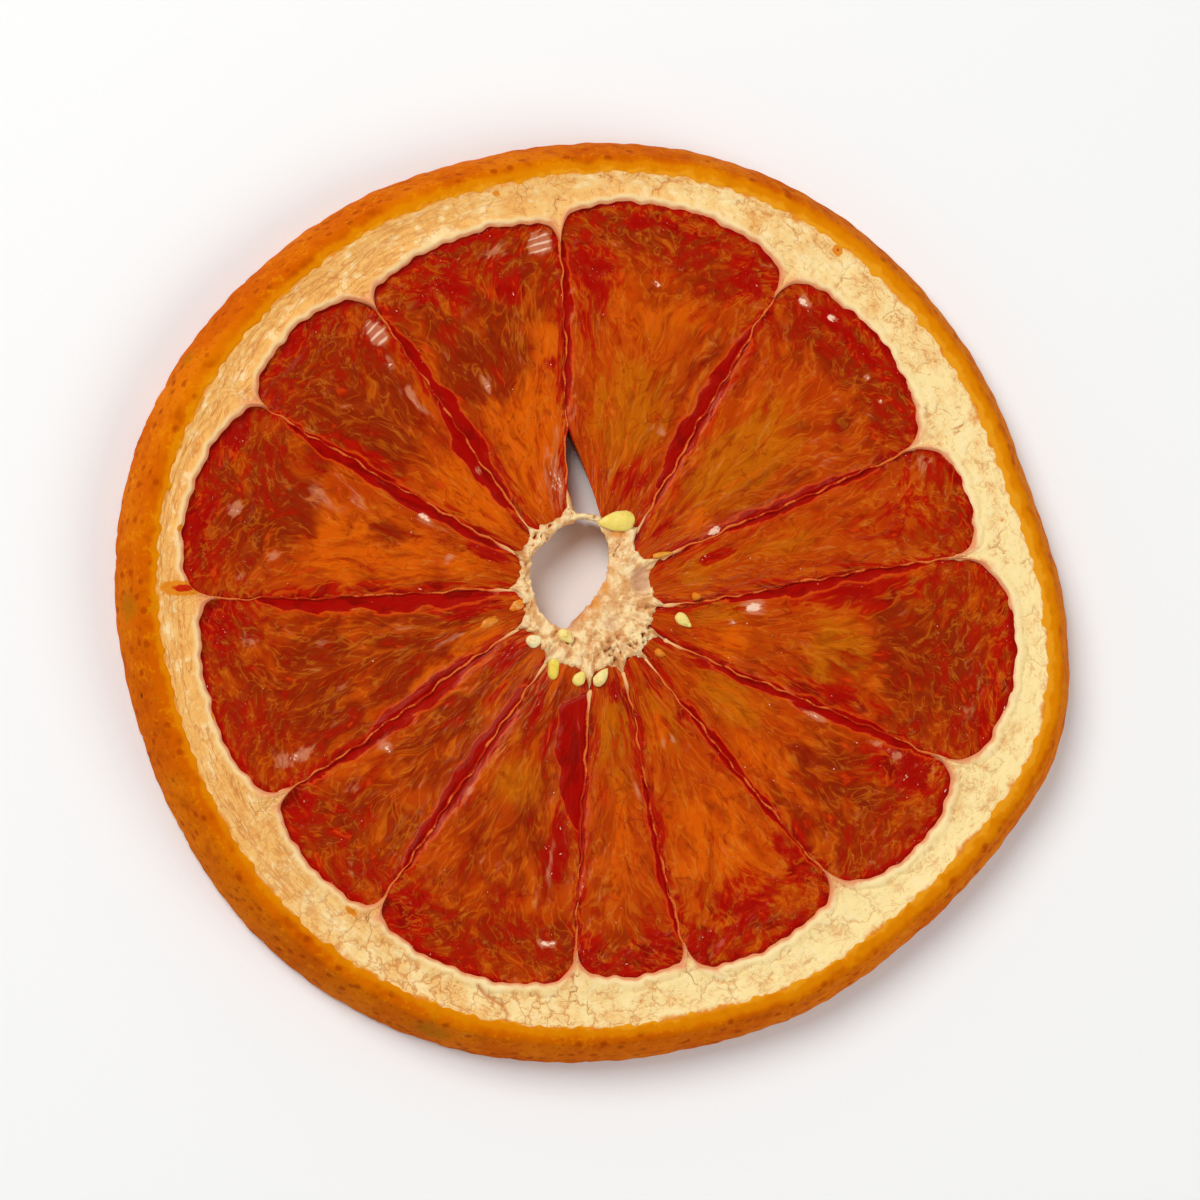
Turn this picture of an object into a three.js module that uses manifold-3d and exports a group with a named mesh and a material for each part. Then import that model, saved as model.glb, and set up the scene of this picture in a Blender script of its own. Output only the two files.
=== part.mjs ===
// A dried slice of grapefruit, lying flat on its wider cut face. Millimetres, +Z up.
//
// A ring of peel, with a slanted outer wall of rind round a band of pith, holds thirteen segments of
// pulp. The pulp has shrunk below the ring and pulled away from the membranes, which stand proud of it
// and run in to a spongy core. A hole has opened in the core, a second gap beside it, and small flat
// pips lie round it. The base of the ring is flat, and the slice rests on it.

import * as THREE from "three";
import { mergeVertices } from "three/addons/utils/BufferGeometryUtils.js";
import Module from "manifold-3d";

const wasm = await Module();
wasm.setup();

// Where the fruit's axis stands, measured from the middle of the slice's base.
const axisPlace = new THREE.Vector2(-1.1, -0.25);

// The ring of peel.
const ringThickness = 5.5;
const ringThicknessSwing = 0.35; // thicker on one side than on the other
const thickestSide = 200; // degrees
const wallSlant = 1.65; // how far the base stands out beyond the upper edge
const wallSlantSwing = 0.3;
const widestSlantSide = 30; // degrees
const wallBulge = 0.3;
const rindThickness = 1.5;
const rindEdgeDrop = 0.25; // the rind's upper edge has dried lower than the pith
const baseChamfer = 0.5;
const pithLip = 0.8; // from the pulp's edge out to the pith's raised lip
const pithLipDrop = 0.45; // the pith slopes down to the pulp there
const pithHollow = 0.22; // the dried-in crease round the middle of the pith
// Radius of the ring's upper edge at every 15 degrees, counter-clockwise from +X.
const ringRadii = [
  45.2, 43.3, 43.2, 43.2, 43.2, 42.8, 42.1, 41.7, 42.2, 42.7, 43.5, 44.0, 43.8, 43.3, 43.3, 43.5, 43.2,
  42.6, 41.9, 41.7, 42.4, 42.9, 44.4, 46.3,
];

// One entry for each segment, counter-clockwise from +X: the angle and radius at which its first membrane
// leaves the ring, the radius of the pulp's arched end there, and the share of the way across at which
// that arch peaks; then the same for the end at the core. Angles in degrees.
const segments = [
  { angle: 7.7, radius: 35.6, arch: 37.7, peak: 0.36, coreAngle: -3, coreRadius: 6.6, coreArch: 6.2 },
  { angle: 26, radius: 34.7, arch: 37.4, peak: 0.58, coreAngle: 32, coreRadius: 7.8, coreArch: 6.4 },
  { angle: 59, radius: 35.3, arch: 38.1, peak: 0.5, coreAngle: 57.5, coreRadius: 7.7, coreArch: 8 },
  { angle: 95.6, radius: 35.3, arch: 36.4, peak: 0.52, coreAngle: 105.5, coreRadius: 8.9, coreArch: 8.5 },
  { angle: 128, radius: 35.5, arch: 38.4, peak: 0.66, coreAngle: 133, coreRadius: 8.8, coreArch: 8.4 },
  { angle: 151, radius: 37.4, arch: 40.1, peak: 0.66, coreAngle: 150, coreRadius: 8.5, coreArch: 7.6 },
  { angle: 180.7, radius: 37.6, arch: 38.5, peak: 0.47, coreAngle: 173.5, coreRadius: 7.5, coreArch: 6.9 },
  { angle: 212, radius: 35.4, arch: 37.4, peak: 0.5, coreAngle: 201, coreRadius: 7.5, coreArch: 6.8 },
  { angle: 234.5, radius: 35.8, arch: 37.5, peak: 0.4, coreAngle: 232.5, coreRadius: 7.4, coreArch: 6.9 },
  { angle: 267, radius: 34.3, arch: 35.6, peak: 0.45, coreAngle: 268, coreRadius: 8.4, coreArch: 6.8 },
  { angle: 285, radius: 34.7, arch: 36.6, peak: 0.45, coreAngle: 293.5, coreRadius: 7.2, coreArch: 6.9 },
  { angle: 311.5, radius: 34.9, arch: 38.9, peak: 0.66, coreAngle: 313, coreRadius: 7.3, coreArch: 7 },
  { angle: 337, radius: 36.9, arch: 41.1, peak: 0.46, coreAngle: 332.5, coreRadius: 7.7, coreArch: 6.3 },
];
const archRoundness = 2.2; // power of the superellipse of the arches
const membraneBend = 3; // a membrane runs straight from the ring and bends close to the core

// Heights of the shrunken flesh above the base.
const upperFace = { pulpAtEnds: 4.35, pulpSag: 0.55, membraneStand: 0.55, core: 4.9 };
const lowerFace = { pulpAtEnds: 1.0, pulpSag: -0.35, membraneStand: -0.35, core: 0.7 };
const pulpCrown = 0.3; // how much the middle of a segment is fuller than its sides
const pulpRoughness = 0.16;
const coreRoughness = 0.2;
const membraneFoot = 0.5; // half the width of a membrane with the film of pulp on it
const widestFoot = 0.18; // the same as a share of a segment, where the segments are narrow

// The hole in the core: centre, half width, half length, and lean of its long way from +Y, clockwise.
const hole = { x: -2.4, y: 2.7, halfWidth: 3.5, halfLength: 5.1, lean: 12.6, rimDrop: 0.5 };

// The gap beside it, in the inner end of a segment: its three corners.
const gapCorners = { tip: [-1.55, 17.0], left: [-1.85, 9.35], right: [0.75, 8.95] };

// A pocket where the pulp has torn from a membrane.
const pocket = { x: -2.4, y: -15.1, halfWidth: 1.15, halfLength: 6.0, halfDepth: 1.7, turn: -7 };

// Flat unripe pips: place, half length, half width and turn in degrees from +X.
const pips = [
  { x: 2.1, y: 7.6, halfLength: 1.75, halfWidth: 0.85, turn: -8 },
  { x: 8.3, y: -1.8, halfLength: 0.85, halfWidth: 0.5, turn: -35 },
  { x: -2.7, y: -3.7, halfLength: 0.8, halfWidth: 0.55, turn: -40 },
  { x: -3.4, y: -5.9, halfLength: 1.2, halfWidth: 0.6, turn: 80 },
  { x: -1.4, y: -7.3, halfLength: 0.8, halfWidth: 0.65, turn: 60 },
  { x: 0.5, y: -7.4, halfLength: 1.05, halfWidth: 0.7, turn: 55 },
  { x: -6.0, y: -3.9, halfLength: 0.85, halfWidth: 0.75, turn: 30 },
  { x: 6.4, y: -4.7, halfLength: 0.6, halfWidth: 0.5, turn: -20 },
];
const pipHalfThickness = 0.55;
const pipHeight = 4.75;

// How finely the faces are divided.
const stationsPerSegment = 10;
const coreRows = [0, 0.5, 1]; // from the hole's rim to the core's edge
const upperPulpRows = [0.02, 0.1, 0.21, 0.33, 0.45, 0.57, 0.69, 0.81, 0.92, 0.985];
const lowerPulpRows = [0.985, 0.8, 0.6, 0.4, 0.2, 0.02];
const wallRows = [0.12, 0.5, 0.88]; // shares of the way down the wall

const radians = THREE.MathUtils.degToRad;
const lerp = THREE.MathUtils.lerp;

// A repeatable draw between -1 and 1.
let seed = 11;
function draw() {
  return 2 * THREE.MathUtils.seededRandom(seed++) - 1;
}

// A smooth closed curve through values at equal steps round the slice.
function aroundRing(values, degrees) {
  const step = 360 / values.length;
  const place = THREE.MathUtils.euclideanModulo(degrees / step, values.length);
  const here = Math.floor(place);
  const t = place - here;
  const [a, b, c, d] = [-1, 0, 1, 2].map(
    (k) => values[THREE.MathUtils.euclideanModulo(here + k, values.length)],
  );
  return b + 0.5 * t * (c - a + t * (2 * a - 5 * b + 4 * c - d + t * (3 * (b - c) + d - a)));
}

function thicknessAt(degrees) {
  return ringThickness + ringThicknessSwing * Math.cos(radians(degrees - thickestSide));
}

function wallSlantAt(degrees) {
  return wallSlant + wallSlantSwing * Math.cos(radians(degrees - widestSlantSide));
}

function nextSegment(index) {
  return segments[(index + 1) % segments.length];
}

// How full an arch is at a share of the way across a segment: 0 at the membranes, 1 at its peak.
function archShape(share, peak) {
  const side = Math.abs(2 * share ** (Math.log(0.5) / Math.log(peak)) - 1) ** archRoundness;
  return (1 - side) ** (1 / archRoundness);
}

// The outer and inner end of a segment at that share across it: angle in degrees and radius.
function outerEnd(index, share) {
  const from = segments[index];
  const to = nextSegment(index);
  const side = lerp(from.radius, to.radius, share);
  return {
    angle: from.angle + THREE.MathUtils.euclideanModulo(to.angle - from.angle, 360) * share,
    radius: lerp(side, from.arch, archShape(share, from.peak)),
  };
}

function innerEnd(index, share) {
  const from = segments[index];
  const to = nextSegment(index);
  const side = lerp(from.coreRadius, to.coreRadius, share);
  return {
    angle: from.coreAngle + THREE.MathUtils.euclideanModulo(to.coreAngle - from.coreAngle, 360) * share,
    radius: lerp(side, from.coreArch, archShape(share, 0.5)),
  };
}

// The place on the flesh at a share across a segment and a share of the way out from the core.
function fleshPlace(index, across, out) {
  const inner = innerEnd(index, across);
  const outer = outerEnd(index, across);
  const turn = THREE.MathUtils.euclideanModulo(inner.angle - outer.angle + 180, 360) - 180;
  return {
    angle: outer.angle + turn * (1 - out) ** membraneBend,
    radius: lerp(inner.radius, outer.radius, out),
  };
}

// The share across a segment of each station: the membrane, its foot, the pulp, and the next foot.
function stationShare(index, station, out) {
  const from = fleshPlace(index, 0, out);
  const to = fleshPlace(index, 1, out);
  const span = THREE.MathUtils.euclideanModulo(to.angle - from.angle, 360);
  const foot = Math.min(membraneFoot / (from.radius * radians(span)), widestFoot);
  if (station === 0) return 0;
  return lerp(foot, 1 - foot, (station - 1) / (stationsPerSegment - 2));
}

function pointAt(degrees, radius, height) {
  const angle = radians(degrees);
  return new THREE.Vector3(
    axisPlace.x + radius * Math.cos(angle),
    axisPlace.y + radius * Math.sin(angle),
    height,
  );
}

// The point of the hole's rim that lies on the way from the hole's centre to a point of the core.
function holeRim(towards, height) {
  const centre = new THREE.Vector3(axisPlace.x + hole.x, axisPlace.y + hole.y, height);
  const way = new THREE.Vector3(towards.x - centre.x, towards.y - centre.y, 0).normalize();
  const lean = radians(hole.lean);
  const across = way.x * Math.cos(lean) - way.y * Math.sin(lean);
  const along = way.x * Math.sin(lean) + way.y * Math.cos(lean);
  const reach = 1 / Math.hypot(across / hole.halfWidth, along / hole.halfLength);
  return centre.addScaledVector(way, reach);
}

// Height of the pulp or the membrane on one face of the flesh.
function fleshHeight(face, station, across, out) {
  const base = face.pulpAtEnds - face.pulpSag * Math.sin(Math.PI * out);
  if (station === 0) return base + face.membraneStand + 0.3 * pulpRoughness * draw();
  const crown = Math.sign(face.membraneStand) * pulpCrown * Math.sin(Math.PI * across);
  return base + crown + pulpRoughness * draw();
}

function coreRow(face, index, station, share) {
  const across = stationShare(index, station, 0);
  const inner = innerEnd(index, across);
  const edge = pointAt(inner.angle, inner.radius, 0);
  const rimDrop = Math.sign(face.membraneStand) * hole.rimDrop * (1 - share);
  const height = face.core - rimDrop + coreRoughness * Math.sin(Math.PI * share) * draw();
  return holeRim(edge, height).lerp(edge.setZ(height), share);
}

function fleshRow(face, index, station, out) {
  const across = stationShare(index, station, out);
  const { angle, radius } = fleshPlace(index, across, out);
  return pointAt(angle, radius, fleshHeight(face, station, across, out));
}

// The closed section at one station: up out of the hole, over the top, down the wall and back below.
function section(index, station) {
  const outer = outerEnd(index, stationShare(index, station, 1));
  const edge = aroundRing(ringRadii, outer.angle);
  const slant = wallSlantAt(outer.angle);
  const thickness = thicknessAt(outer.angle);
  const pithEdge = edge - rindThickness;
  const ring = (radius, height) => pointAt(outer.angle, radius, height);
  return [
    ...coreRows.map((share) => coreRow(upperFace, index, station, share)),
    ...upperPulpRows.map((out) => fleshRow(upperFace, index, station, out)),
    ring(outer.radius + 0.05, thickness - pithLipDrop),
    ring(outer.radius + pithLip, thickness),
    ring(lerp(outer.radius, pithEdge, 0.6), thickness - pithHollow),
    ring(pithEdge, thickness),
    ring(edge, thickness - rindEdgeDrop),
    ...wallRows.map((down) => {
      const bulge = wallBulge * Math.sin(Math.PI * down);
      return ring(edge + slant * down + bulge, (thickness - rindEdgeDrop) * (1 - down));
    }),
    ring(edge + slant - baseChamfer, 0),
    ring(pithEdge, 0),
    ring(outer.radius + 0.05, 0),
    ...lowerPulpRows.map((out) => fleshRow(lowerFace, index, station, out)),
    ...coreRows.toReversed().map((share) => coreRow(lowerFace, index, station, share)),
  ];
}

function sliceGeometry() {
  const sections = segments.flatMap((_, index) =>
    Array.from({ length: stationsPerSegment }, (__, station) => section(index, station)),
  );
  const rows = sections[0].length;
  const corner = (column, row) => (column % sections.length) * rows + (row % rows);
  const faces = [];
  for (let column = 0; column < sections.length; column++) {
    for (let row = 0; row < rows; row++) {
      const a = corner(column, row);
      const b = corner(column, row + 1);
      const c = corner(column + 1, row + 1);
      const d = corner(column + 1, row);
      faces.push(a, b, c, a, c, d);
    }
  }
  return new THREE.BufferGeometry().setFromPoints(sections.flat()).setIndex(faces);
}

function pipGeometry(pip) {
  return new THREE.SphereGeometry(1, 6, 4)
    .rotateX(Math.PI / 2)
    .scale(pip.halfLength, pip.halfWidth, pipHalfThickness)
    .rotateZ(radians(pip.turn))
    .translate(axisPlace.x + pip.x, axisPlace.y + pip.y, pipHeight);
}

function gapGeometry() {
  const { tip, left, right } = gapCorners;
  const outline = new THREE.Shape()
    .moveTo(...left)
    .quadraticCurveTo(lerp(left[0], right[0], 0.5), Math.min(left[1], right[1]) - 0.25, ...right)
    .quadraticCurveTo(right[0] - 0.7, lerp(right[1], tip[1], 0.4), ...tip)
    .lineTo(...left);
  return new THREE.ExtrudeGeometry(outline, {
    depth: 2 * ringThickness,
    bevelEnabled: false,
    curveSegments: 4,
  }).translate(axisPlace.x, axisPlace.y, -0.5 * ringThickness);
}

function pocketGeometry() {
  return new THREE.SphereGeometry(1, 10, 6)
    .rotateX(Math.PI / 2)
    .scale(pocket.halfWidth, pocket.halfLength, pocket.halfDepth)
    .rotateZ(radians(pocket.turn))
    .translate(axisPlace.x + pocket.x, axisPlace.y + pocket.y, upperFace.pulpAtEnds);
}

function toSolid(geometry) {
  geometry.deleteAttribute("normal");
  geometry.deleteAttribute("uv");
  const merged = mergeVertices(geometry, 1e-3);
  return new wasm.Manifold(
    new wasm.Mesh({
      numProp: 3,
      vertProperties: merged.attributes.position.array,
      triVerts: new Uint32Array(merged.index.array),
    }),
  );
}

function toGeometry(solid) {
  const { vertProperties, triVerts } = solid.getMesh();
  const geometry = new THREE.BufferGeometry()
    .setAttribute("position", new THREE.BufferAttribute(vertProperties, 3))
    .setIndex(new THREE.BufferAttribute(triVerts, 1))
    .toNonIndexed();
  geometry.computeVertexNormals();
  return geometry;
}

function makeSlice() {
  const flesh = toSolid(sliceGeometry())
    .subtract(toSolid(gapGeometry()))
    .subtract(toSolid(pocketGeometry()));
  return pips.reduce((solid, pip) => solid.add(toSolid(pipGeometry(pip))), flesh);
}

const driedFlesh = new THREE.MeshStandardMaterial({ color: 0xb5500c, roughness: 0.35, metalness: 0 });
const slice = new THREE.Mesh(toGeometry(makeSlice()), driedFlesh);
slice.name = "slice";

const driedGrapefruitSlice = new THREE.Group();
driedGrapefruitSlice.add(slice);

export default driedGrapefruitSlice;
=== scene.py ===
import math

import bpy
import numpy as np
from mathutils import Matrix, Vector


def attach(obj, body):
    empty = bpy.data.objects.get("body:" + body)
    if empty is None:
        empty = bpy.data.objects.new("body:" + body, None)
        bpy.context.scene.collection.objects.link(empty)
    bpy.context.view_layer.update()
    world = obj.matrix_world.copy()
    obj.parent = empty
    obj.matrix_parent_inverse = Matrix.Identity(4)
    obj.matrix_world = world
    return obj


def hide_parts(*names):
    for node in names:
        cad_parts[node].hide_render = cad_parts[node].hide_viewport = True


print("loading the frame")
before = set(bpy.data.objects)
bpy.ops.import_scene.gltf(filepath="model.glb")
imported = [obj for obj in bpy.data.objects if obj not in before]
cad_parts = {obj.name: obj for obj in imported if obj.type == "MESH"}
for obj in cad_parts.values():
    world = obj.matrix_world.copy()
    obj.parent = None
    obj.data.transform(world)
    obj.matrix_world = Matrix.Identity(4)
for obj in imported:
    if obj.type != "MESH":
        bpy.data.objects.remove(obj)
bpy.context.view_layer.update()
mm = 0.001

# The slice's outlines, the same as in the solid, in millimetres and degrees.

sliceShape = {
    "axisPlace": (-1.1, -0.25),  # the fruit's axis, from the middle of the base
    "ringThickness": 5.5,
    "ringThicknessSwing": 0.35,
    "thickestSide": 200,
    "wallSlant": 1.65,
    "wallSlantSwing": 0.3,
    "widestSlantSide": 30,
    "wallBulge": 0.3,
    "rindThickness": 1.5,
    "rindEdgeDrop": 0.25,
    "baseChamfer": 0.5,
    "pithHollow": 0.22,
    "archRoundness": 2.2,
    "membraneBend": 3,
    "ringRadii": (  # the ring's upper edge, every 15 degrees
        *(45.2, 43.3, 43.2, 43.2, 43.2, 42.8, 42.1, 41.7, 42.2, 42.7, 43.5, 44.0),
        *(43.8, 43.3, 43.3, 43.5, 43.2, 42.6, 41.9, 41.7, 42.4, 42.9, 44.4, 46.3),
    ),
    "holePlace": (-2.4, 2.7),  # the middle of the hole, from the axis
}

# One row for each segment: angle and radius of its first membrane at the ring, radius and peak of
# the pulp's arch there, then angle, radius and arch at the core.
segmentRows = (
    (7.7, 35.6, 37.7, 0.36, -3, 6.6, 6.2),
    (26, 34.7, 37.4, 0.58, 32, 7.8, 6.4),
    (59, 35.3, 38.1, 0.5, 57.5, 7.7, 8.0),
    (95.6, 35.3, 36.4, 0.52, 105.5, 8.9, 8.5),
    (128, 35.5, 38.4, 0.66, 133, 8.8, 8.4),
    (151, 37.4, 40.1, 0.66, 150, 8.5, 7.6),
    (180.7, 37.6, 38.5, 0.47, 173.5, 7.5, 6.9),
    (212, 35.4, 37.4, 0.5, 201, 7.5, 6.8),
    (234.5, 35.8, 37.5, 0.4, 232.5, 7.4, 6.9),
    (267, 34.3, 35.6, 0.45, 268, 8.4, 6.8),
    (285, 34.7, 36.6, 0.45, 293.5, 7.2, 6.9),
    (311.5, 34.9, 38.9, 0.66, 313, 7.3, 7.0),
    (337, 36.9, 41.1, 0.46, 332.5, 7.7, 6.3),
)
segmentCount = len(segmentRows)


# A smooth closed curve through values that stand at even angles.
def aroundRing(values, degrees):
    values = np.asarray(values, float)
    place = np.mod(np.asarray(degrees, float) / (360 / len(values)), len(values))
    here = np.floor(place).astype(int)
    t = place - here
    a, b, c, d = (values[(here + k) % len(values)] for k in (-1, 0, 1, 2))
    return b + 0.5 * t * (c - a + t * (2 * a - 5 * b + 4 * c - d + t * (3 * (b - c) + d - a)))


def thicknessAt(degrees):
    swing = np.cos(np.radians(degrees - sliceShape["thickestSide"]))
    return sliceShape["ringThickness"] + sliceShape["ringThicknessSwing"] * swing


def wallSlantAt(degrees):
    swing = np.cos(np.radians(degrees - sliceShape["widestSlantSide"]))
    return sliceShape["wallSlant"] + sliceShape["wallSlantSwing"] * swing


# A rounded arch from 0 to 1 and back, highest at the share that peak gives.
def archShape(share, peak):
    power = sliceShape["archRoundness"]
    share = np.clip(share, 0, 1)
    side = np.abs(2 * share ** (math.log(0.5) / math.log(peak)) - 1) ** power
    return (1 - side) ** (1 / power)


def lerp(a, b, share):
    return a + (b - a) * share


def smooth(value, low, high):
    t = np.clip((value - low) / (high - low), 0, 1)
    return t * t * (3 - 2 * t)


# Angle and radius of a segment's rounded end at the ring, at a share across it.
def outerEnd(index, share):
    angle, radius, arch, peak = segmentRows[index][:4]
    nextAngle, nextRadius = segmentRows[(index + 1) % segmentCount][:2]
    side = lerp(radius, nextRadius, share)
    return angle + (nextAngle - angle) % 360 * share, lerp(side, arch, archShape(share, peak))


# The same at the core.
def innerEnd(index, share):
    angle, radius, arch = segmentRows[index][4:]
    nextAngle, nextRadius = segmentRows[(index + 1) % segmentCount][4:6]
    side = lerp(radius, nextRadius, share)
    return angle + (nextAngle - angle) % 360 * share, lerp(side, arch, archShape(share, 0.5))


# The turn from one angle to another, the short way round.
def turnFrom(start, degrees):
    return (degrees - start + 180) % 360 - 180


# Shares from 0 to 1, closer together near both ends.
def eased(count, ease, endpoint=True):
    t = np.linspace(0, 1, count, endpoint=endpoint)
    return lerp(t, 0.5 - 0.5 * np.cos(np.pi * t), ease)


# A soft spot: 1 in its middle, and less and less past its half width and half length.
def spot(aside, wide, along=0.0, long=1.0):
    return np.exp(-((aside / wide) ** 2) - (along / long) ** 2)


# Angle and radius at a share across a segment and a share out from the core, a little past each end.
def fleshPlace(index, across, out, pastCore=0.0, pastRing=0.0):
    innerAngle, innerRadius = innerEnd(index, across)
    outerAngle, outerRadius = outerEnd(index, across)
    turn = turnFrom(outerAngle, innerAngle)
    angle = outerAngle + turn * np.clip(1 - out, 0, 1) ** sliceShape["membraneBend"]
    return angle, lerp(innerRadius - pastCore, outerRadius + pastRing, out)


def pointAt(degrees, radius, height):
    angle = np.radians(degrees)
    x = sliceShape["axisPlace"][0] + radius * np.cos(angle)
    y = sliceShape["axisPlace"][1] + radius * np.sin(angle)
    return np.stack(np.broadcast_arrays(x, y, height), axis=-1)


# A repeatable wobble along a length: waves of the given sizes, in millimetres, all of even strength.
def wobble(length, sizes, seed, periodic=0.0):
    draw = np.random.default_rng(seed)
    total = np.zeros_like(length, dtype=float)
    for size in sizes:
        count = 1 / size if not periodic else max(1, round(periodic / size)) / periodic
        total += draw.uniform(0.6, 1.0) * np.sin(2 * np.pi * (count * length + draw.random()))
    return total / math.sqrt(len(sizes))


# Points are a list or a grid. An attribute has a number or a vector for each of them.
def makeMesh(name, points, faces, attributes=None, edges=()):
    points = np.asarray(points, float)
    mesh = bpy.data.meshes.new(name)
    mesh.from_pydata((points.reshape(-1, 3) * mm).tolist(), list(edges), np.asarray(faces).tolist())
    for label, values in (attributes or {}).items():
        values = np.asarray(values, float)
        isVector = values.ndim == points.ndim
        field = mesh.attributes.new(label, "FLOAT_VECTOR" if isVector else "FLOAT", "POINT")
        field.data.foreach_set("vector" if isVector else "value", values.ravel())
    mesh.shade_smooth()
    mesh.update()
    piece = bpy.data.objects.new(name, mesh)
    bpy.context.scene.collection.objects.link(piece)
    return piece


# A value for each row of a grid of points, the same in all its columns.
def alongRows(values, columns):
    return np.tile(np.asarray(values, float), (columns, 1))


# Faces between neighbouring rows of a grid of points, numbered column by column.
def gridFaces(columns, rows, closeColumns=False, closeRows=False, start=0):
    column, row = np.meshgrid(
        np.arange(columns if closeColumns else columns - 1),
        np.arange(rows if closeRows else rows - 1),
        indexing="ij",
    )
    nextColumn = (column + 1) % columns
    nextRow = (row + 1) % rows
    corners = (
        column * rows + row,
        column * rows + nextRow,
        nextColumn * rows + nextRow,
        nextColumn * rows + row,
    )
    return start + np.stack(corners, axis=-1).reshape(-1, 4)


# One output of a node. Where it is a single number, adding, multiplying and so on makes the math
# node for that and gives its output.
class Value:
    def __init__(self, graph, socket):
        self.graph = graph
        self.socket = socket

    def __add__(self, other):
        return self.graph.math("ADD", self, other)

    def __radd__(self, other):
        return self.graph.math("ADD", other, self)

    def __sub__(self, other):
        return self.graph.math("SUBTRACT", self, other)

    def __rsub__(self, other):
        return self.graph.math("SUBTRACT", other, self)

    def __mul__(self, other):
        return self.graph.math("MULTIPLY", self, other)

    def __rmul__(self, other):
        return self.graph.math("MULTIPLY", other, self)

    def __truediv__(self, other):
        return self.graph.math("DIVIDE", self, other)

    def __rtruediv__(self, other):
        return self.graph.math("DIVIDE", other, self)

    def __pow__(self, other):
        return self.graph.math("POWER", self, other)

    def __abs__(self):
        return self.graph.math("ABSOLUTE", self)


# A node tree, with a method for each kind of node that is needed often.
class Graph:
    def __init__(self, tree):
        self.tree = tree

    def feed(self, socket, value):
        if isinstance(value, Value):
            self.tree.links.new(value.socket, socket)
        else:
            socket.default_value = value

    def node(self, kind, inputs=None, **settings):
        made = self.tree.nodes.new(kind)
        for key, value in settings.items():
            setattr(made, key, value)
        for key, value in (inputs or {}).items():
            self.feed(made.inputs[key], value)
        return made

    def values(self, node):
        return [Value(self, socket) for socket in node.outputs]

    def value(self, kind, inputs=None, output=0, **settings):
        return Value(self, self.node(kind, inputs, **settings).outputs[output])

    def math(self, operation, *numbers, clamp=False):
        return self.value("ShaderNodeMath", dict(enumerate(numbers)), operation=operation, use_clamp=clamp)

    def larger(self, a, b):
        return self.math("MAXIMUM", a, b)

    def vector(self, operation, a, b):
        return self.value("ShaderNodeVectorMath", {0: a, 1: b}, operation=operation)

    def scaled(self, a, factors):
        return self.vector("MULTIPLY", a, factors)

    def lengthened(self, vector, factor):
        return self.value("ShaderNodeVectorMath", {0: vector, "Scale": factor}, operation="SCALE")

    def split(self, vector):
        return self.values(self.node("ShaderNodeSeparateXYZ", {0: vector}))

    def combine(self, x, y, z):
        return self.value("ShaderNodeCombineXYZ", {"X": x, "Y": y, "Z": z})

    def remap(self, value, low, high, toLow=0.0, toHigh=1.0, kind="SMOOTHSTEP"):
        inputs = {"Value": value, "From Min": low, "From Max": high, "To Min": toLow, "To Max": toHigh}
        return self.value("ShaderNodeMapRange", inputs, "Result", interpolation_type=kind)

    def blend(self, share, a, b):
        return self.value("ShaderNodeMix", {0: share, 6: a, 7: b}, 2, data_type="RGBA")

    def noise(self, vector, scale=1.0, detail=2.0, roughness=0.5, distortion=0.0, colour=False):
        inputs = {"Vector": vector, "Scale": scale, "Detail": detail}
        inputs.update({"Roughness": roughness, "Distortion": distortion})
        return self.value("ShaderNodeTexNoise", inputs, "Color" if colour else "Fac")

    def voronoi(self, vector, scale, feature):
        inputs = {"Vector": vector, "Scale": scale}
        return self.value("ShaderNodeTexVoronoi", inputs, "Distance", feature=feature)

    def bump(self, strength, depth, height):
        inputs = {"Strength": strength, "Distance": depth * mm, "Height": height}
        return self.value("ShaderNodeBump", inputs)

    # A place moved by noise, half of each amount either way at most.
    def bent(self, place, stretch, amounts, detail):
        cloud = self.noise(self.scaled(place, stretch), 1.0, detail, colour=True)
        return self.vector("ADD", place, self.scaled(self.vector("SUBTRACT", cloud, (0.5,) * 3), amounts))

    # Where a point of a material is, in millimetres.
    def place(self):
        return self.scaled(self.value("ShaderNodeTexCoord", None, "Object"), (1 / mm,) * 3)

    # An attribute of the mesh.
    def stored(self, name, vector=False):
        if self.tree.bl_idname == "ShaderNodeTree":
            output = "Vector" if vector else "Fac"
            return self.value("ShaderNodeAttribute", None, output, attribute_name=name)
        kind = "FLOAT_VECTOR" if vector else "FLOAT"
        return self.value("GeometryNodeInputNamedAttribute", {"Name": name}, data_type=kind)

    def store(self, geometry, name, value, kind="FLOAT"):
        inputs = {"Geometry": geometry, "Name": name, "Value": value}
        return self.value("GeometryNodeStoreNamedAttribute", inputs, data_type=kind, domain="POINT")

    def moved(self, geometry, offset):
        return self.value("GeometryNodeSetPosition", {"Geometry": geometry, "Offset": offset})


# A colour as seen on a screen, turned into Blender's linear one.
def rgb(red, green, blue):
    channels = [c / 255 for c in (red, green, blue)]
    return (*[c / 12.92 if c <= 0.04045 else ((c + 0.055) / 1.055) ** 2.4 for c in channels], 1.0)


# A node group with named inputs, given as name: (socket type, value), and named outputs.
def makeGroup(name, kind, inputs, outputs):
    tree = bpy.data.node_groups.new(name, kind)
    for label, (socketType, value) in inputs.items():
        socket = tree.interface.new_socket(label, in_out="INPUT", socket_type=socketType)
        if value is not None:
            socket.default_value = value
    for label, socketType in outputs.items():
        tree.interface.new_socket(label, in_out="OUTPUT", socket_type=socketType)
    g = Graph(tree)
    entry, end = tree.nodes.new("NodeGroupInput"), tree.nodes.new("NodeGroupOutput")
    return tree, g, {socket.name: Value(g, socket) for socket in entry.outputs}, end.inputs


floatSocket = "NodeSocketFloat"
vectorSocket = "NodeSocketVector"
colourSocket = "NodeSocketColor"
geometrySocket = "NodeSocketGeometry"
materialSocket = "NodeSocketMaterial"


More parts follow.
